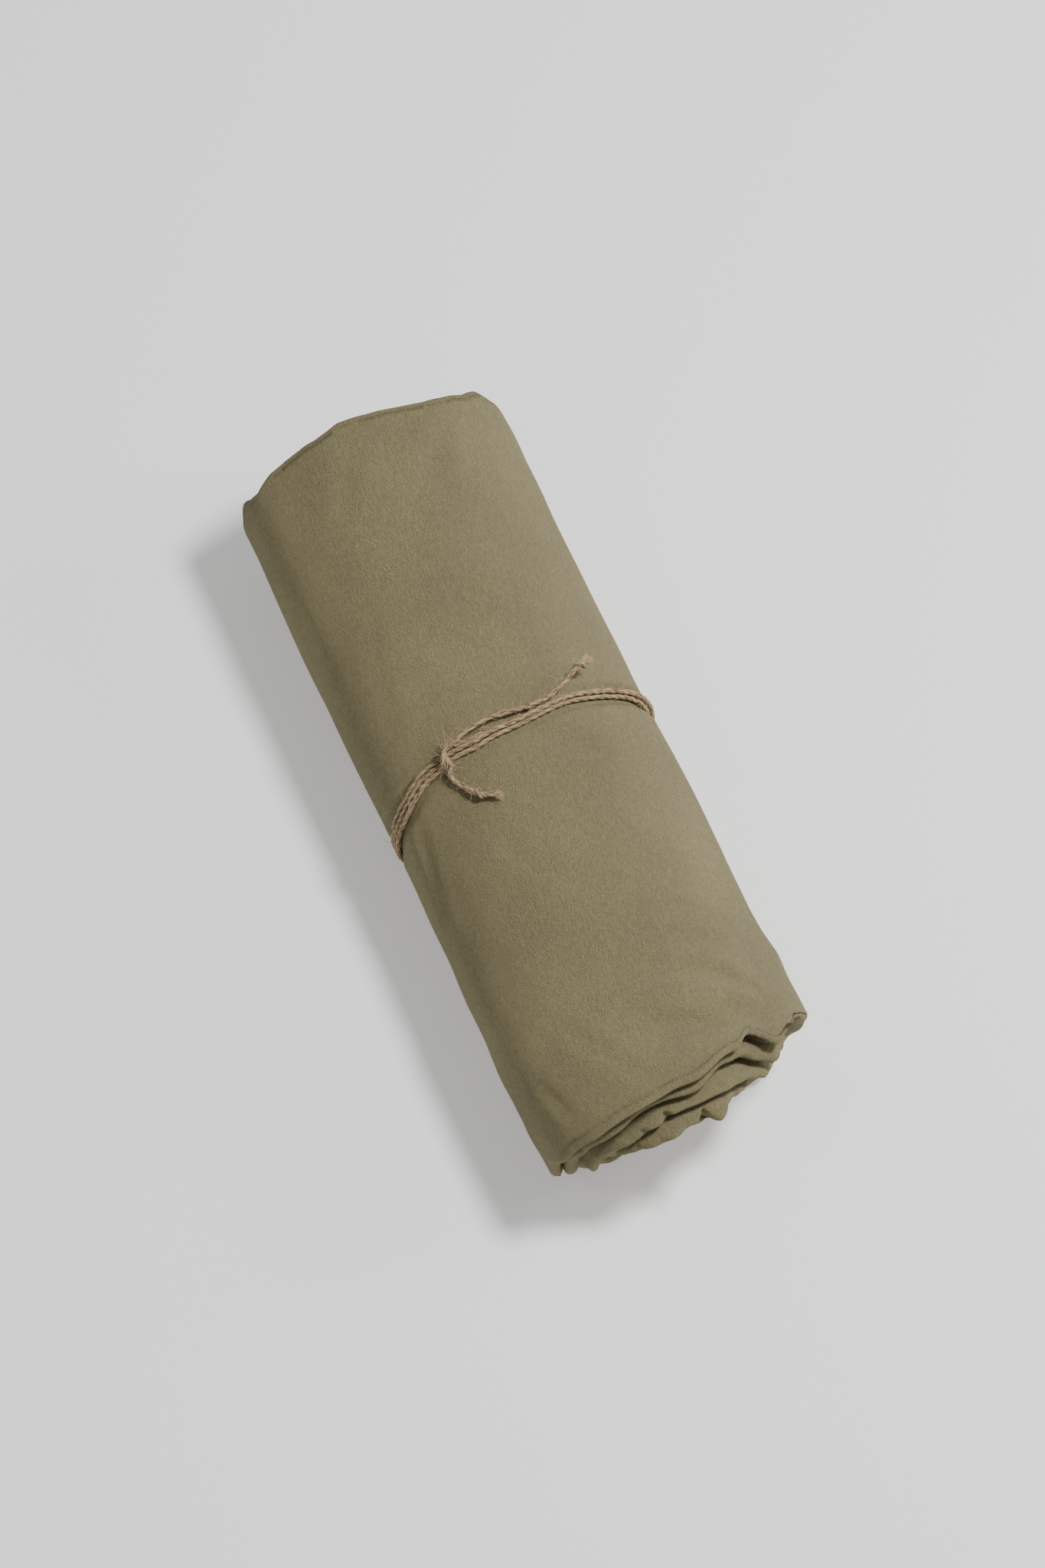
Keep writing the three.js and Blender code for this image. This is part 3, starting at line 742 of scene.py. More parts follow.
@dataclass
class Strand:
    """A length of twine along a path, swept as one closed surface."""

    name: str
    path: np.ndarray
    side: np.ndarray
    ply: Ply = field(default_factory=Ply)
    start_turn: float = 0.0
    thin_end: float = 1.0
    seed: int = 1

    def build(self) -> bpy.types.Object:
        """Sweeps the two-ply outline along the path, turning once a pitch.

        Returns:
            The piece, with its baking layer, a layer for its fibres and its groove depth on each point, which the
            finish turns into painted shade.
        """
        ply, sides = self.ply, self.ply.sides
        path = smooth_path(self.path, ply.step)
        count = len(path)
        first, second = path_sides(path, self.side)
        along = np.arange(count) * ply.step
        around = 2 * math.pi * np.arange(sides) / sides
        uneven = SoftNoise(seed=self.seed, waves=12, shortest=4, longest=30)
        swell = 1 + ply.swelling * uneven.read(along, 0 * along)
        swell *= self.thin_end + (1 - self.thin_end) * eased(1, 0.85, np.linspace(0, 1, count))
        jitter = ply.loose_twist * uneven.read(along + 500, 0 * along)
        wound = self.start_turn + 2 * math.pi * along / ply.pitch + jitter
        turn = around[None, :] - wound[:, None]
        fibre = SoftNoise(seed=self.seed + 7, waves=20, shortest=0.5, longest=1.6)
        lay = fibre.read(around[None, :] * ply.diameter * 0.5 * np.ones((count, 1)), along[:, None], 12.0)
        radius = ply.radius(turn) * swell[:, None] + ply.fibre_relief * lay * ply.diameter
        cos, sin = np.cos(around)[None, :, None], np.sin(around)[None, :, None]
        ring = cos * first[:, None, :] + sin * second[:, None, :]
        points = path[:, None, :] + radius[:, :, None] * ring
        rows, cols = np.indices((count - 1, sides)).reshape(2, -1)
        total = count * sides
        rim = np.arange(sides)
        first_cap = np.stack([np.roll(rim, -1), rim, np.full(sides, total)], axis=1)
        last_rim = (count - 1) * sides + rim
        last_cap = np.stack([last_rim, np.roll(last_rim, -1), np.full(sides, total + 1)], axis=1)
        faces = [ring_quads(0, rows, cols, sides), first_cap, last_cap]
        piece = mesh_object(self.name, np.concatenate([points.reshape(-1, 3), path[:1], path[-1:]]), faces)
        self.lay_out(piece, along, rows, cols)
        # How far each point stands out of the groove between the plies; the finish paints shade on the low ones
        low, high = ply.radius(np.array([math.pi / 2, 0.0]))
        proud = (ply.radius(turn) - low) / (high - low)
        set_point_value(piece, "proud", np.concatenate([proud.ravel(), [0.2, 0.2]]))
        return piece

    def lay_out(self, piece: bpy.types.Object, along: np.ndarray, rows: np.ndarray, cols: np.ndarray) -> None:
        """Lays the surface out for baking, as a few strips one above another, and for its fibres.

        Args:
            piece: the swept piece.
            along: each row's distance along the strand.
            rows: each face's row.
            cols: each face's column.
        """
        sides = self.ply.sides
        strips = max(1, int(round(math.sqrt(along[-1] / (math.pi * self.ply.diameter)))))
        per_strip = math.ceil((len(along) - 1) / strips)
        u0 = (rows % per_strip) / per_strip
        u1 = u0 + 1 / per_strip
        v0 = (rows // per_strip + 0.96 * cols / sides + 0.02) / strips
        v1 = v0 + 0.96 / sides / strips
        caps = np.tile([0.001, 0.001, 0.002, 0.001, 0.001, 0.002], (2 * sides, 1)).reshape(-1, 2)
        baked = np.stack([u0, v0, u0, v1, u1, v1, u1, v0], axis=1).reshape(-1, 2)
        set_layer(piece, BAKE_LAYER, np.concatenate([baked, caps]))
        s0, s1 = along[rows] * TO_METRES, along[rows + 1] * TO_METRES
        w0, w1 = cols / sides, (cols + 1) / sides
        fibres = np.stack([s0, w0, s0, w1, s1, w1, s1, w0], axis=1).reshape(-1, 2)
        set_layer(piece, FIBRE_LAYER, np.concatenate([fibres, 0 * caps]))


@dataclass
class Fibres:
    """Loose hairs: thin tapering curves of three sides, each from a root outwards."""

    name: str
    roots: np.ndarray
    ways: np.ndarray
    lengths: np.ndarray
    radius: float
    curl: float
    seed: int
    rings: int = 6
    lowest: float = 0.2

    def build(self) -> bpy.types.Object:
        """Sweeps every hair at once.

        Returns:
            The piece: each hair's middle line is root + way s + bend s^2, with a drawn bend across the way.
        """
        draw = np.random.RandomState(self.seed)
        count, rings = len(self.roots), self.rings
        ways = self.ways / np.linalg.norm(self.ways, axis=1)[:, None]
        other = draw.normal(size=(count, 3))
        across = np.cross(ways, other)
        across /= np.linalg.norm(across, axis=1)[:, None]
        third = np.cross(ways, across)
        s = np.linspace(0, 1, rings)[None, :, None]
        reach = self.lengths[:, None, None]
        bend = self.curl * draw.uniform(0.3, 1.0, size=(count, 1, 1)) * reach
        sway = self.curl * 0.4 * draw.normal(size=(count, 1, 1)) * reach
        line = self.roots[:, None, :] + ways[:, None, :] * reach * s + across[:, None, :] * bend * s**2
        line = line + third[:, None, :] * sway * np.sin(math.pi * s)
        around = 2 * math.pi * np.arange(3) / 3
        ring = np.cos(around)[None, None, :, None] * across[:, None, None, :]
        ring = ring + np.sin(around)[None, None, :, None] * third[:, None, None, :]
        taper = self.radius * (1 - 0.75 * s[..., None] ** 1.5)
        points = line[:, :, None, :] + ring * taper
        points[..., 2] = np.maximum(points[..., 2], self.lowest)
        hair, row, side = np.indices((count, rings - 1, 3)).reshape(3, -1)
        start = np.arange(count) * rings * 3
        end = start + (rings - 1) * 3
        first = np.stack([start + 2, start + 1, start], axis=1)
        last = np.stack([end, end + 1, end + 2], axis=1)
        faces = [ring_quads(hair * rings * 3, row, side, 3), first, last]
        piece = mesh_object(self.name, points.reshape(-1, 3), faces)
        laid = np.concatenate([hair.repeat(4), np.tile(np.arange(count).repeat(3), 2)]) * 0.0137
        set_layer(piece, FIBRE_LAYER, np.stack([laid, laid * 3.1], axis=1))
        set_point_value(piece, "proud", draw.uniform(0.2, 0.6, size=count).repeat(rings * 3))
        return piece


def joined(name: str, pieces: list[bpy.types.Object]) -> bpy.types.Object:
    """Joins objects into the first one.

    Args:
        name: its name from then on.
        pieces: the objects.

    Returns:
        The joined object, without its baking layers, which would overlap.
    """
    bpy.ops.object.select_all(action="DESELECT")
    for piece in pieces:
        piece.select_set(True)
    bpy.context.view_layer.objects.active = pieces[0]
    bpy.ops.object.join()
    pieces[0].name = name
    pieces[0].data.name = name
    overlapping = pieces[0].data.uv_layers.get(BAKE_LAYER)
    if overlapping:
        pieces[0].data.uv_layers.remove(overlapping)
    return pieces[0]


Socket = bpy.types.NodeSocket


class FinishNodes:
    """A finish while it is built: a matt shader, and the nodes that feed it."""

    def __init__(self, name: str, roughness: float, shine: float) -> None:
        """Makes the material.

        Args:
            name: the material's name.
            roughness: how matt it is.
            shine: its specular level.
        """
        self.material = bpy.data.materials.new(name)
        self.material.use_nodes = True
        self.shader = self.material.node_tree.nodes["Principled BSDF"]
        self.feed(self.shader, {"Roughness": roughness, "Specular IOR Level": shine})

    def feed(self, node: bpy.types.Node, inputs: dict) -> None:
        """Feeds a node's inputs, by name or number, each from a socket or with a plain value."""
        for key, value in inputs.items():
            if isinstance(value, Socket):
                self.material.node_tree.links.new(value, node.inputs[key])
            else:
                node.inputs[key].default_value = value

    def add(self, kind: str, inputs: dict) -> bpy.types.Node:
        """Adds a node of a kind, such as "Bump", with its inputs fed."""
        node = self.material.node_tree.nodes.new(f"ShaderNode{kind}")
        self.feed(node, inputs)
        return node

    def noise(self, place: Socket, scale: float, detail: float, rough: float) -> Socket:
        """A noise texture.

        Args:
            place: where it is read.
            scale: how fine it is.
            detail: how many finer layers it has.
            rough: how strong each finer layer is.

        Returns:
            Its value.
        """
        inputs = {"Vector": place, "Scale": scale, "Detail": detail, "Roughness": rough}
        return self.add("TexNoise", inputs).outputs["Fac"]

    def blend(self, parts: tuple) -> Socket:
        """A sum of values.

        Args:
            parts: pairs of a value and its share.

        Returns:
            The sum of each value times its share.
        """
        total: Socket | float = 0.0
        for value, share in parts:
            node = self.add("Math", {0: value, 1: share, 2: total})
            node.operation = "MULTIPLY_ADD"
            total = node.outputs[0]
        return total

    def ramp(self, value: Socket, stops: tuple) -> Socket:
        """A passage through colours.

        Args:
            value: where it is read.
            stops: places from 0 to 1 and the colour at each, the first and the last ahead of those between.

        Returns:
            The colour.
        """
        node = self.add("ValToRGB", {"Fac": value})
        elements = node.color_ramp.elements
        for number, (at, colour) in enumerate(stops):
            stop = elements[number] if number < 2 else elements.new(at)
            stop.position, stop.color = at, (*colour, 1.0)
        return node.outputs["Color"]

    def bump(self, height: Socket, strength: float, distance: float) -> None:
        """Raises the surface's fine relief by a height."""
        node = self.add("Bump", {"Height": height, "Strength": strength, "Distance": distance})
        self.feed(self.shader, {"Normal": node.outputs["Normal"]})


@dataclass(frozen=True)
class ClothFinish:
    """The sheet's cloth: washed plain cotton in khaki beige, finely crinkled all over."""

    colour: tuple = (0.322, 0.273, 0.141)
    # The ramp's dark and light ends: partly random tone, partly painted shade in the crinkles' hollows and painted
    # highlight on their tops
    darker_and_shade: tuple = (0.195, 0.169, 0.096)
    lighter_and_highlight: tuple = (0.470, 0.405, 0.205)
    crinkles_per_metre: float = 2300.0
    puckers_per_crinkle: float = 0.28
    drift_per_metre: float = 22.0
    relief: float = 0.0021
    roughness: float = 0.93

    def material(self) -> bpy.types.Material:
        """Builds the finish.

        Returns:
            Crinkle and pucker noise, stretched along the band, for relief and tone, and a slow drift of tone; the
            tone from the crinkles is painted highlight on their tops and painted shade in their hollows.
        """
        made = FinishNodes("washed_cotton", self.roughness, 0.15)
        sheen = {"Sheen Weight": 0.1, "Sheen Roughness": 0.5, "Sheen Tint": (0.85, 0.82, 0.72, 1.0)}
        made.feed(made.shader, sheen)
        place = made.add("TexCoord", {}).outputs["Object"]
        turned = made.add("Mapping", {"Vector": place, "Rotation": (0.0, 0.0, 0.12), "Scale": (0.6, 1.0, 1.0)})
        turned = turned.outputs["Vector"]
        crinkle = made.noise(turned, self.crinkles_per_metre, 3.0, 0.6)
        pucker = made.noise(turned, self.crinkles_per_metre * self.puckers_per_crinkle, 3.0, 0.55)
        drift = made.noise(turned, self.drift_per_metre, 3.0, 0.5)
        made.bump(made.blend(((pucker, 0.45), (crinkle, 1.0))), 1.0, self.relief)
        # Painted light: the tone rises with the same crinkle and pucker noise as the relief, so raised crinkles are
        # painted lighter (painted highlight) and hollows darker (painted shade); the drift is random tone
        tone = made.blend(((drift, 0.35), (pucker, 0.35), (crinkle, 0.75)))
        colour = made.ramp(tone, ((0.45, self.darker_and_shade), (1.0, self.lighter_and_highlight), (0.72, self.colour)))
        made.feed(made.shader, {"Base Color": colour})
        return made.material


@dataclass(frozen=True)
class JuteFinish:
    """Raw jute twine: straw-coloured fibres, with painted shade, a dark brown, where they dip between the plies."""

    name: str = "jute_fibre"
    straw: tuple = (0.56, 0.42, 0.25)
    tan: tuple = (0.15, 0.094, 0.046)
    # Painted shade between the plies; on loose hairs, whose depth value is drawn at random, a random darker tone
    groove_shade: tuple = (0.075, 0.040, 0.019)
    groove_depth: tuple = (-0.12, 0.30)
    relief: float = 0.0006
    roughness: float = 0.85

    def material(self) -> bpy.types.Material:
        """Builds the finish.

        Returns:
            Streaks along the fibres, for relief and tone, darkened with painted shade by the groove depth written on
            the points.
        """
        made = FinishNodes(self.name, self.roughness, 0.25)
        layer = made.add("UVMap", {})
        layer.uv_map = FIBRE_LAYER
        drawn_out = made.add("Mapping", {"Vector": layer.outputs["UV"], "Scale": (190.0, 15.0, 1.0)})
        streak = made.noise(drawn_out.outputs["Vector"], 1.0, 4.0, 0.65)
        tone = made.ramp(streak, ((0.41, self.tan), (0.58, self.straw)))
        # Painted shade: the groove colour is mixed in where the points lie low between the plies
        proud = made.add("Attribute", {})
        proud.attribute_name = "proud"
        low, high = self.groove_depth
        rise = made.add("MapRange", {"Value": proud.outputs["Fac"], "From Min": low, "From Max": high})
        mix = made.add("Mix", {})
        mix.data_type = "RGBA"
        made.feed(mix, {"Factor": rise.outputs["Result"], 6: (*self.groove_shade, 1.0), 7: tone})
        made.feed(made.shader, {"Base Color": mix.outputs[2]})
        made.bump(streak, 0.9, self.relief)
        return made.material


LOOSE_FIBRE = JuteFinish(name="loose_fibre", straw=(0.72, 0.56, 0.36), tan=(0.46, 0.33, 0.19))


@dataclass(frozen=True)
class FreeEnd:
    """A free end of the twine as it lies in the photograph: its route to the end knot, and on to its tip."""

    strand: str
    tip: str
    strand_node: str
    tip_node: str
    route: tuple
    to_tip: tuple
    tuft_reach: float
    first_turn: float
    knot_roll: float
    seed: int

    @property
    def line(self) -> np.ndarray:
        """The whole route from the flat knot to the cut tip."""
        return np.array(self.route + self.to_tip)


LONG_END = FreeEnd(
    strand="twine_long_end",
    tip="twine_long_tip",
    strand_node="twine_end_long",
    tip_node="end_knot_long",
    route=(
        (3.5, -32.9, 90.8), (2.9, -31.2, 90.8), (2.1, -28.6, 91.4), (1.2, -25.9, 92.0),
        (0.4, -23.2, 92.5), (-0.3, -20.2, 93.0), (-0.9, -16.2, 93.4), (-1.2, -12.2, 93.7),
        (-1.1, -8.3, 93.9), (-0.8, -4.5, 94.0), (-0.5, -0.8, 94.1), (-0.2, 3.0, 94.1),
        (-0.1, 7.0, 94.1), (-0.2, 11.0, 94.1), (-0.7, 15.4, 94.2), (-1.7, 19.2, 94.4),
        (-3.2, 23.0, 94.7), (-4.8, 26.6, 95.0), (-6.9, 30.6, 95.3), (-9.0, 34.2, 95.6),
    ),
    to_tip=((-10.2, 36.4, 95.8), (-10.9, 39.4, 95.9)),
    tuft_reach=4.6,
    first_turn=0.0,
    knot_roll=-35.0,
    seed=51,
)
SHORT_END = FreeEnd(
    strand="twine_short_end",
    tip="twine_short_tip",
    strand_node="twine_end_short",
    tip_node="end_knot_short",
    route=(
        (12.3, -36.1, 86.7), (13.6, -36.9, 86.4), (15.3, -37.6, 86.2), (17.3, -37.7, 86.0),
        (19.6, -37.1, 86.1), (21.9, -35.9, 86.6), (24.2, -34.7, 87.3), (26.4, -33.6, 88.2),
        (28.4, -32.6, 89.1), (30.2, -31.7, 89.8),
    ),
    to_tip=((31.9, -30.6, 90.5), (33.9, -27.8, 91.2), (35.4, -24.9, 91.7), (36.2, -23.2, 92.0)),
    tuft_reach=3.6,
    first_turn=0.9,
    knot_roll=20.0,
    seed=52,
)


@dataclass
class TwineTie:
    """The jute twine: three turns round the roll, a flat knot, and two free ends with knotted, frayed tips."""

    form: RollForm
    ply: Ply = field(default_factory=Ply)
    gap: float = 0.3
    facet_slack: float = 0.32
    knot_angle: float = 120.0
    side: tuple = (1.0, 0.0, 0.0)
    ends: tuple = (LONG_END, SHORT_END)
    bunching: float = 1.45
    wrap_sway: float = 0.22
    # The wraps' ends at the flat knot, in degrees from its middle, and the step between their points
    wrap_span: tuple = (13.0, 347.1)
    wrap_step: float = 4.0
    wrap_leaves: tuple = (4.4, -3.7, 0.3)
    # An end knot's loops across, up and along, where it sits past its route, and its twine
    end_loops: tuple = (0.66, 0.60, 0.20)
    end_knot_at: float = 2.2
    end_ply: Ply = field(default_factory=lambda: Ply(diameter=2.3, pitch=5.2, step=0.35, sides=14))
    knot_ply: Ply = field(default_factory=lambda: Ply(diameter=2.45, pitch=5.6))
    tuft_count: int = 80
    # Loose hairs: how many the turns, the free ends and the knot get, and how many times longer they are there
    hair_counts: tuple = (300, 105, 50, 46)
    hair_stretches: tuple = (1.0, 1.1, 0.9, 2.2)
    hair_reach: tuple = (1.2, 14.0)
    # The flat knot: t round the roll, x along it, n above the wraps' middle
    knot_across: tuple = (
        (6.5, -4.6, 0.2), (3.2, -4.5, 1.0), (1.2, -4.1, 2.1), (-0.4, -2.4, 3.3), (-0.8, 0.0, 3.5),
        (-0.5, 2.6, 3.0), (-0.3, 4.5, 2.2), (0.2, 5.6, 0.9),
    )
    knot_over: tuple = (
        (-6.2, 3.6, 0.5), (-3.7, 4.0, 2.4), (-2.8, 2.4, 3.4), (-1.2, 0.2, 5.0), (0.8, -1.6, 5.1),
        (2.6, -2.9, 4.1), (4.2, -3.6, 3.0),
    )

    @property
    def strand_height(self) -> float:
        """How high a wrap's middle lies above the cloth."""
        return self.gap + self.facet_slack + self.ply.diameter / 2

    def near_knot(self, rows: tuple) -> np.ndarray:
        """Places at the flat knot.

        Args:
            rows: places in the knot's own directions, as in the tables above.

        Returns:
            The same places in the tables' frame.
        """
        angle = np.array([self.knot_angle])
        x = self.form.twine_line(angle)
        place = self.form.place(x, angle, np.ones(1), np.zeros(1))[0]
        out_y, out_z = self.form.outward(np.zeros(1), angle)
        out = np.array([0.0, out_y[0], out_z[0]])
        along = np.array([0.0, out[2], -out[1]])
        table = np.array(rows)
        base = place + table[:, :1] * along + table[:, 1:2] * np.array([1.0, 0.0, 0.0])
        return base + (table[:, 2:3] + self.strand_height) * out

    def wrap_places(self, angle: np.ndarray, slot: np.ndarray) -> np.ndarray:
        """The wraps' middles.

        Args:
            angle: angles round the roll.
            slot: the wrap's place in the bundle, -1, 0 or 1.

        Returns:
            Points on the cloth, lifted by the strand's height. On the right flank the three are bunched, and
            the middle one rides up over the other two.
        """
        pitch = self.ply.diameter + self.gap
        aside = pitch - self.bunching * self.form.bunched(angle)
        lift = (1 - np.abs(slot)) * np.sqrt(np.maximum(0.0, pitch**2 - aside**2))
        sway = SoftNoise(seed=31, waves=10, shortest=25, longest=80).read(angle * 1.1, slot * 60)
        x = self.form.twine_line(angle) + slot * aside + self.wrap_sway * sway
        base = self.form.place(x, angle, np.ones_like(angle), np.zeros_like(angle))
        out_y, out_z = self.form.outward(x, angle)
        rise = self.strand_height + lift
        return base + np.stack([0 * x, out_y * rise, out_z * rise], axis=1)

    def wrap_line(self) -> np.ndarray:
        """The middle line of the three turns.

        Returns:
            One strand's points, from the knot three times round the roll and back to it.
        """
        first, last = self.wrap_span
        angles = np.arange(self.knot_angle - first, self.knot_angle - last, -self.wrap_step)
        leaves, (t, x, n) = self.wrap_leaves, self.wrap_leaves
        path = [self.near_knot((leaves,))]
        for slot in (-1.0, 0.0, 1.0):
            path.append(self.wrap_places(angles, np.full(len(angles), slot)))
            if slot < 1:
                path.append(self.wrap_places(np.array([self.knot_angle]), np.array([slot + 0.5])))
        path.append(self.near_knot(((-t, -x, n),)))
        return np.concatenate(path)

    def knot(self) -> bpy.types.Object:
        """Makes the flat knot.

        Returns:
            The piece: one strand across the wraps, and the other hitched over it.
        """
        ply, routes = self.knot_ply, [self.near_knot(rows) for rows in (self.knot_across, self.knot_over)]
        across = Strand("knot_across", routes[0], np.array([0.3, 1.0, 0.2]), ply, seed=43)
        over = Strand("knot_over", routes[1], np.array([0.9, 0.3, 0.9]), ply, start_turn=1.0, seed=44)
        return joined("twine_flat_knot", [across.build(), over.build()])

    def end_knot(self, end: FreeEnd) -> bpy.types.Object:
        """An overhand knot drawn tight round a free end.

        Args:
            end: the free end, which runs through the knot past its route's last point.

        Returns:
            The piece: x = a (t^3 - 3 t), y = b (t^4 - 4 t^2 + 2), z = c (t^5 - 10 t), the long overhand knot.
        """
        t = np.linspace(-1.95, 1.95, 26)
        last, following = np.array(end.route[-1]), np.array(end.to_tip[1])
        way = (following - last) / np.linalg.norm(following - last)
        up = np.array([0.0, 0.0, 1.0]) - way * way[2]
        up /= np.linalg.norm(up)
        across = np.cross(way, up)
        cos, sin = math.cos(math.radians(end.knot_roll)), math.sin(math.radians(end.knot_roll))
        up, across = cos * up + sin * across, cos * across - sin * up
        calm = 1 - 0.75 * eased(1.45, 1.95, np.abs(t))
        a, b, c = self.end_loops
        x = a * (t**3 - 3 * t) * calm
        y = b * (t**4 - 4 * t**2 + 2) * calm
        z = c * (t**5 - 10 * t)
        middle = last + way * self.end_knot_at
        points = middle + x[:, None] * across + y[:, None] * up + z[:, None] * way
        return Strand(end.tip, points, across * 0.4 + up + way * 0.3, self.end_ply, seed=end.seed + 2).build()

    def tuft(self, end: FreeEnd) -> bpy.types.Object:
        """The frayed tuft beyond an end knot.

        Args:
            end: the free end.

        Returns:
            The piece: a brush of fibres that spread from the strand's cut end.
        """
        draw = np.random.RandomState(end.seed + 10)
        count = self.tuft_count
        line = end.line
        way = (line[-1] - line[-2]) / np.linalg.norm(line[-1] - line[-2])
        other = draw.normal(size=(count, 3))
        roots = line[-1] + 0.40 * other * np.array([1, 1, 0.8]) - way * 1.6
        ways = way + 0.22 * other + 0.05 * draw.normal(size=(count, 3))
        lengths = (end.tuft_reach + 1.0) * draw.uniform(0.5, 1.1, count)
        return Fibres("tuft", roots, ways, lengths, 0.15, 0.22, end.seed + 11).build()

    def fuzz(self, lines: list[np.ndarray]) -> bpy.types.Object:
        """Loose hairs all along the twine, most of them short and lying with it.

        Args:
            lines: the finely divided middle lines of the turns, both free ends and the knot.

        Returns:
            The piece: roots on the strands' surface, leaning out along or against the way of the twine.
        """
        draw = np.random.RandomState(77)
        roots, ways, lengths = [], [], []
        for line, count, stretch in zip(lines, self.hair_counts, self.hair_stretches):
            pick = draw.randint(1, len(line) - 1, count)
            way = line[pick] - line[pick - 1]
            way /= np.linalg.norm(way, axis=1)[:, None] + 1e-9
            out = draw.normal(size=(count, 3))
            out -= (out * way).sum(axis=1)[:, None] * way
            out /= np.linalg.norm(out, axis=1)[:, None]
            out[:, 2] = np.where(out[:, 2] < -0.2, -out[:, 2], out[:, 2])
            lean = draw.uniform(0.3, 1.3, count)[:, None]
            roots.append(line[pick] + out * self.ply.diameter * 0.36)
            ways.append(way * np.sign(draw.normal(size=count))[:, None] + out * lean)
            lengths.append(stretch * (draw.gamma(2.2, 1.25, count) + 1.2))
        reach = np.clip(np.concatenate(lengths), *self.hair_reach)
        hairs = Fibres("twine_hairs", np.concatenate(roots), np.concatenate(ways), reach, 0.085, 0.35, 78)
        return hairs.build()

    def dress(self, piece: bpy.types.Object, finish: bpy.types.Material, *nodes: str) -> bpy.types.Object:
        """Gives a twine piece its finish, puts it on its body and hides the solids that it stands for.

        Args:
            piece: the piece.
            finish: its finish, where it has none yet.
            nodes: the solids that it stands for, if any.

        Returns:
            The piece, on its body.
        """
        if not piece.data.materials:
            piece.data.materials.append(finish)
        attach(piece, BODY)
        if nodes:
            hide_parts(*nodes)
        log.info("twine piece %s: %d faces", piece.name, len(piece.data.polygons))
        return piece

    def build(self, finish: bpy.types.Material, loose: bpy.types.Material) -> None:
        """Makes the whole tie: the turns, the flat knot, both free ends and the loose hairs.

        Args:
            finish: the twine's finish.
            loose: the finish of tufts and hairs.
        """
        turns = self.wrap_line()
        wound = Strand("twine_turns", turns, np.array(self.side), self.ply, seed=41).build()
        self.dress(wound, finish, "twine_wraps")
        self.dress(self.knot(), finish, "twine_knot")
        for end in self.ends:
            self.free_end(end, finish, loose)
        lines = (turns, *(end.line for end in self.ends), self.near_knot(self.knot_across))
        self.dress(self.fuzz([smooth_path(line, 0.6) for line in lines]), loose)

    def free_end(self, end: FreeEnd, finish: bpy.types.Material, loose: bpy.types.Material) -> None:
        """Args:
            end: the free end.
            finish: the twine's finish.
            loose: the tuft's finish.
        """
        side = np.array([0.15, 0.1, 1.0])
        swept = Strand(end.strand, end.line, side, self.ply, end.first_turn, thin_end=0.8, seed=end.seed)
        strand = self.dress(swept.build(), finish, end.strand_node)
        knot, tuft = self.end_knot(end), self.tuft(end)
        knot.data.materials.append(finish)
        tuft.data.materials.append(loose)
        tip = self.dress(joined(end.tip, [knot, tuft]), finish, end.tip_node)
        path = (smooth_path(end.line, 1.5) - FOOTPRINT_MIDDLE) * TO_METRES


def set_up(name: str, data: bpy.types.ID, way: tuple, distance: float, aim: Vector) -> None:
    """Puts a camera or a light in the scene.

    Args:
        name: its name.
        data: the camera or the light.
        way: the way from its aim to it.
        distance: how far off it stands, in metres.
        aim: the place that it is turned to.
    """
    placed = bpy.data.objects.new(name, data)
    bpy.context.scene.collection.objects.link(placed)
    back = Vector(way).normalized()
    turned = back.to_track_quat("Z", "Y").to_matrix().to_4x4()
    placed.matrix_world = Matrix.Translation(aim + back * distance) @ turned


@dataclass(frozen=True)
class PhotoCamera:
    """The photograph's camera: a long lens from above the near end's left side."""

    way_to_camera: tuple = (0.4617, -0.1920, 0.8660)
    aim: tuple = (8.5, 0.7, 41.1)
    distance: float = 7.0
    picture_height: float = 0.7168
    sensor: float = 36.0
    clip: tuple = (0.5, 20.0)

    def build(self) -> None:
        """Makes the scene's camera. The lens is sensor times distance over the height of the picture."""
        data = bpy.data.cameras.new("camera")
        aim = Vector((np.array(self.aim) - FOOTPRINT_MIDDLE) * TO_METRES)
        set_up("camera", data, self.way_to_camera, self.distance, aim)
        data.sensor_width = self.sensor
        data.lens = self.sensor * self.distance / self.picture_height
        data.clip_start, data.clip_end = self.clip
        bpy.context.scene.camera = bpy.data.objects["camera"]


@dataclass(frozen=True)
class SoftLight:
    """A softbox: the way to it from the roll, its distance, size and power."""

    name: str
    way: tuple
    distance: float
    size: float
    power: float
    colour: tuple = (1.0, 1.0, 1.0)

    def build(self) -> None:
        """Makes the light, turned to the roll."""
        data = bpy.data.lights.new(self.name, "AREA")
        data.shape = "DISK"
        data.size, data.energy, data.color = self.size, self.power, self.colour
        set_up(self.name, data, self.way, self.distance, Vector())


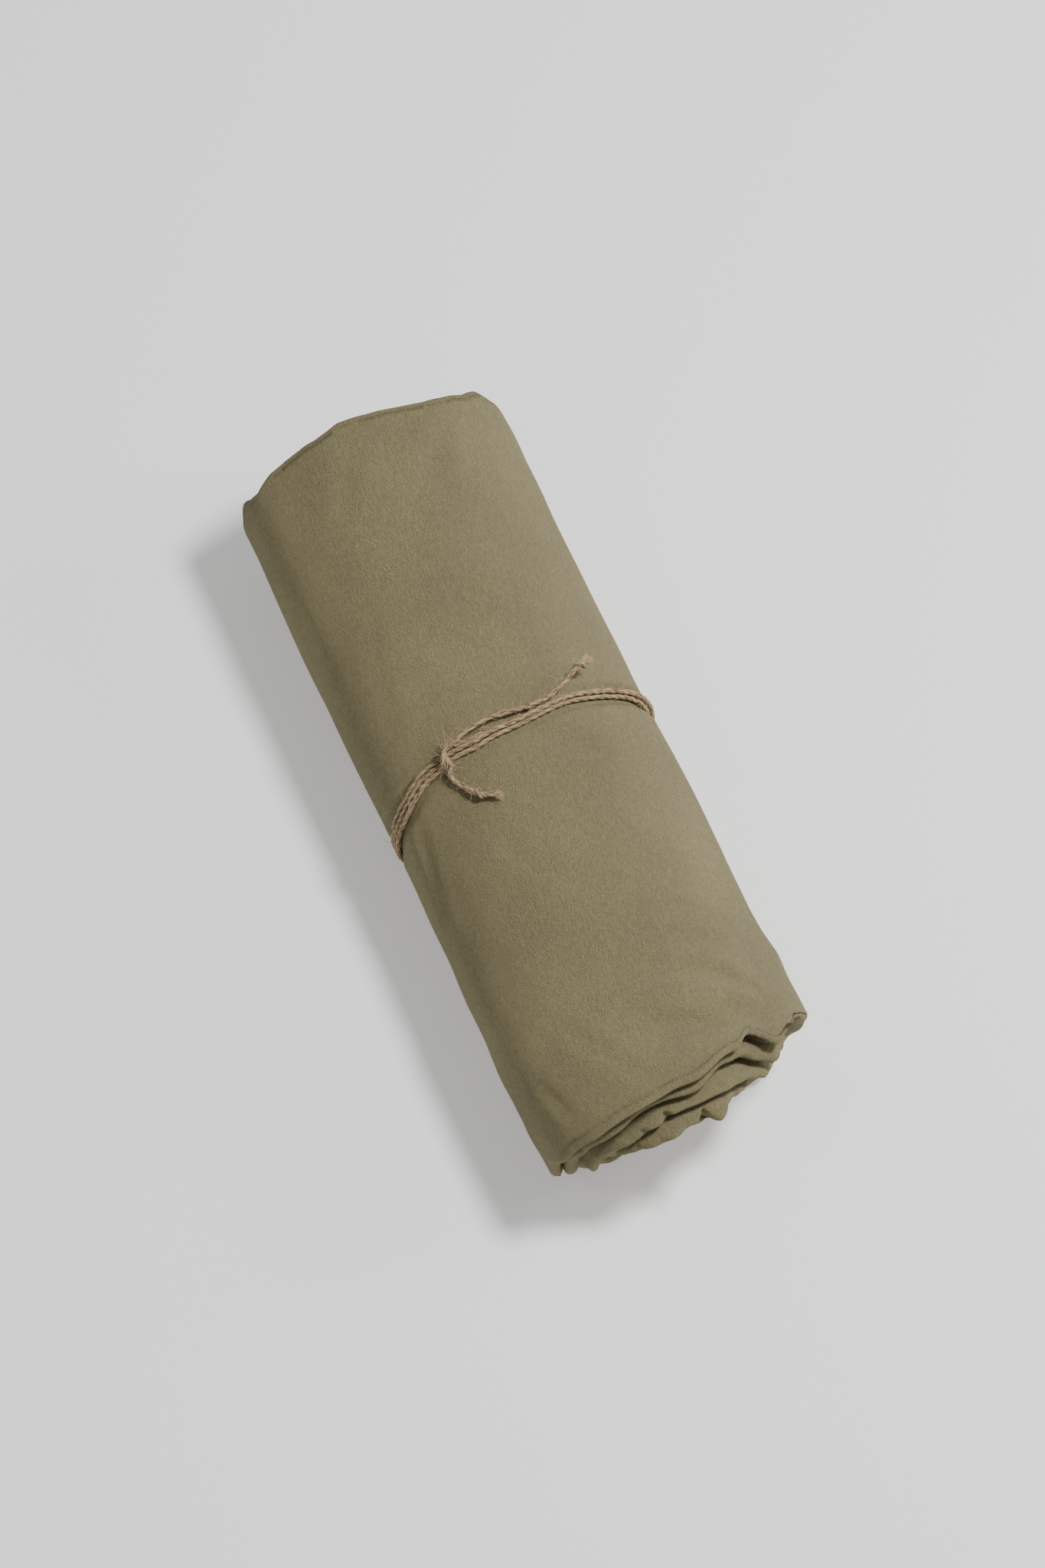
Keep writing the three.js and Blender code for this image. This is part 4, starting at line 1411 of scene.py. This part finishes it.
@dataclass(frozen=True)
class Studio:
    """The plain pale floor and the soft light from both sides."""

    floor_size: float = 6.0
    floor_tone: tuple = (0.9, 0.9, 0.895)
    floor_glow: float = 0.3
    floor_drop: float = 0.0003
    sky: float = 0.25
    lights: tuple = (
        SoftLight("key_from_right", (0.15, 0.86, 0.50), 1.6, 0.5, 5.0, (1.0, 0.985, 0.96)),
        SoftLight("side_from_left", (0.10, -0.58, 0.80), 1.8, 0.25, 1.6, (0.97, 0.985, 1.0)),
        SoftLight("top", (0.15, 0.44, 1.0), 2.2, 0.45, 51.0),
    )

    def build(self) -> None:
        """Makes the floor, the lights and the even surrounding light."""
        half = self.floor_size / 2
        made = bpy.data.meshes.new("floor")
        corners = [(-half, -half, 0), (half, -half, 0), (half, half, 0), (-half, half, 0)]
        made.from_pydata(corners, [], [(0, 1, 2, 3)])
        floor = bpy.data.objects.new("floor", made)
        floor.location.z = -self.floor_drop
        bpy.context.scene.collection.objects.link(floor)
        paper = FinishNodes("floor_paper", 0.9, 0.5)
        white = (1.0, 1.0, 1.0, 1.0)
        glow = {"Emission Color": white, "Emission Strength": self.floor_glow}
        paper.feed(paper.shader, {"Base Color": (*self.floor_tone, 1.0), **glow})
        made.materials.append(paper.material)
        for light in self.lights:
            light.build()
        world = bpy.data.worlds.new("studio")
        world.use_nodes = True
        background = world.node_tree.nodes["Background"]
        background.inputs["Color"].default_value = white
        background.inputs["Strength"].default_value = self.sky
        bpy.context.scene.world = world


def main() -> None:
    """Builds the camera, the tie, the sheet and the studio, in that order."""
    PhotoCamera().build()
    cotton, jute = ClothFinish().material(), JuteFinish().material()
    form = RollForm()
    TwineTie(form).build(jute, LOOSE_FIBRE.material())
    sheet = RolledSheet(form).build()
    sheet.data.materials.append(cotton)
    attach(sheet, BODY)
    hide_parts("sheet_roll")
    log.info("rolled sheet: %d faces", len(sheet.data.polygons))
    Studio().build()


if __name__ == "__main__":
    logging.basicConfig(level=logging.INFO, format="%(name)s: %(message)s")
    main()
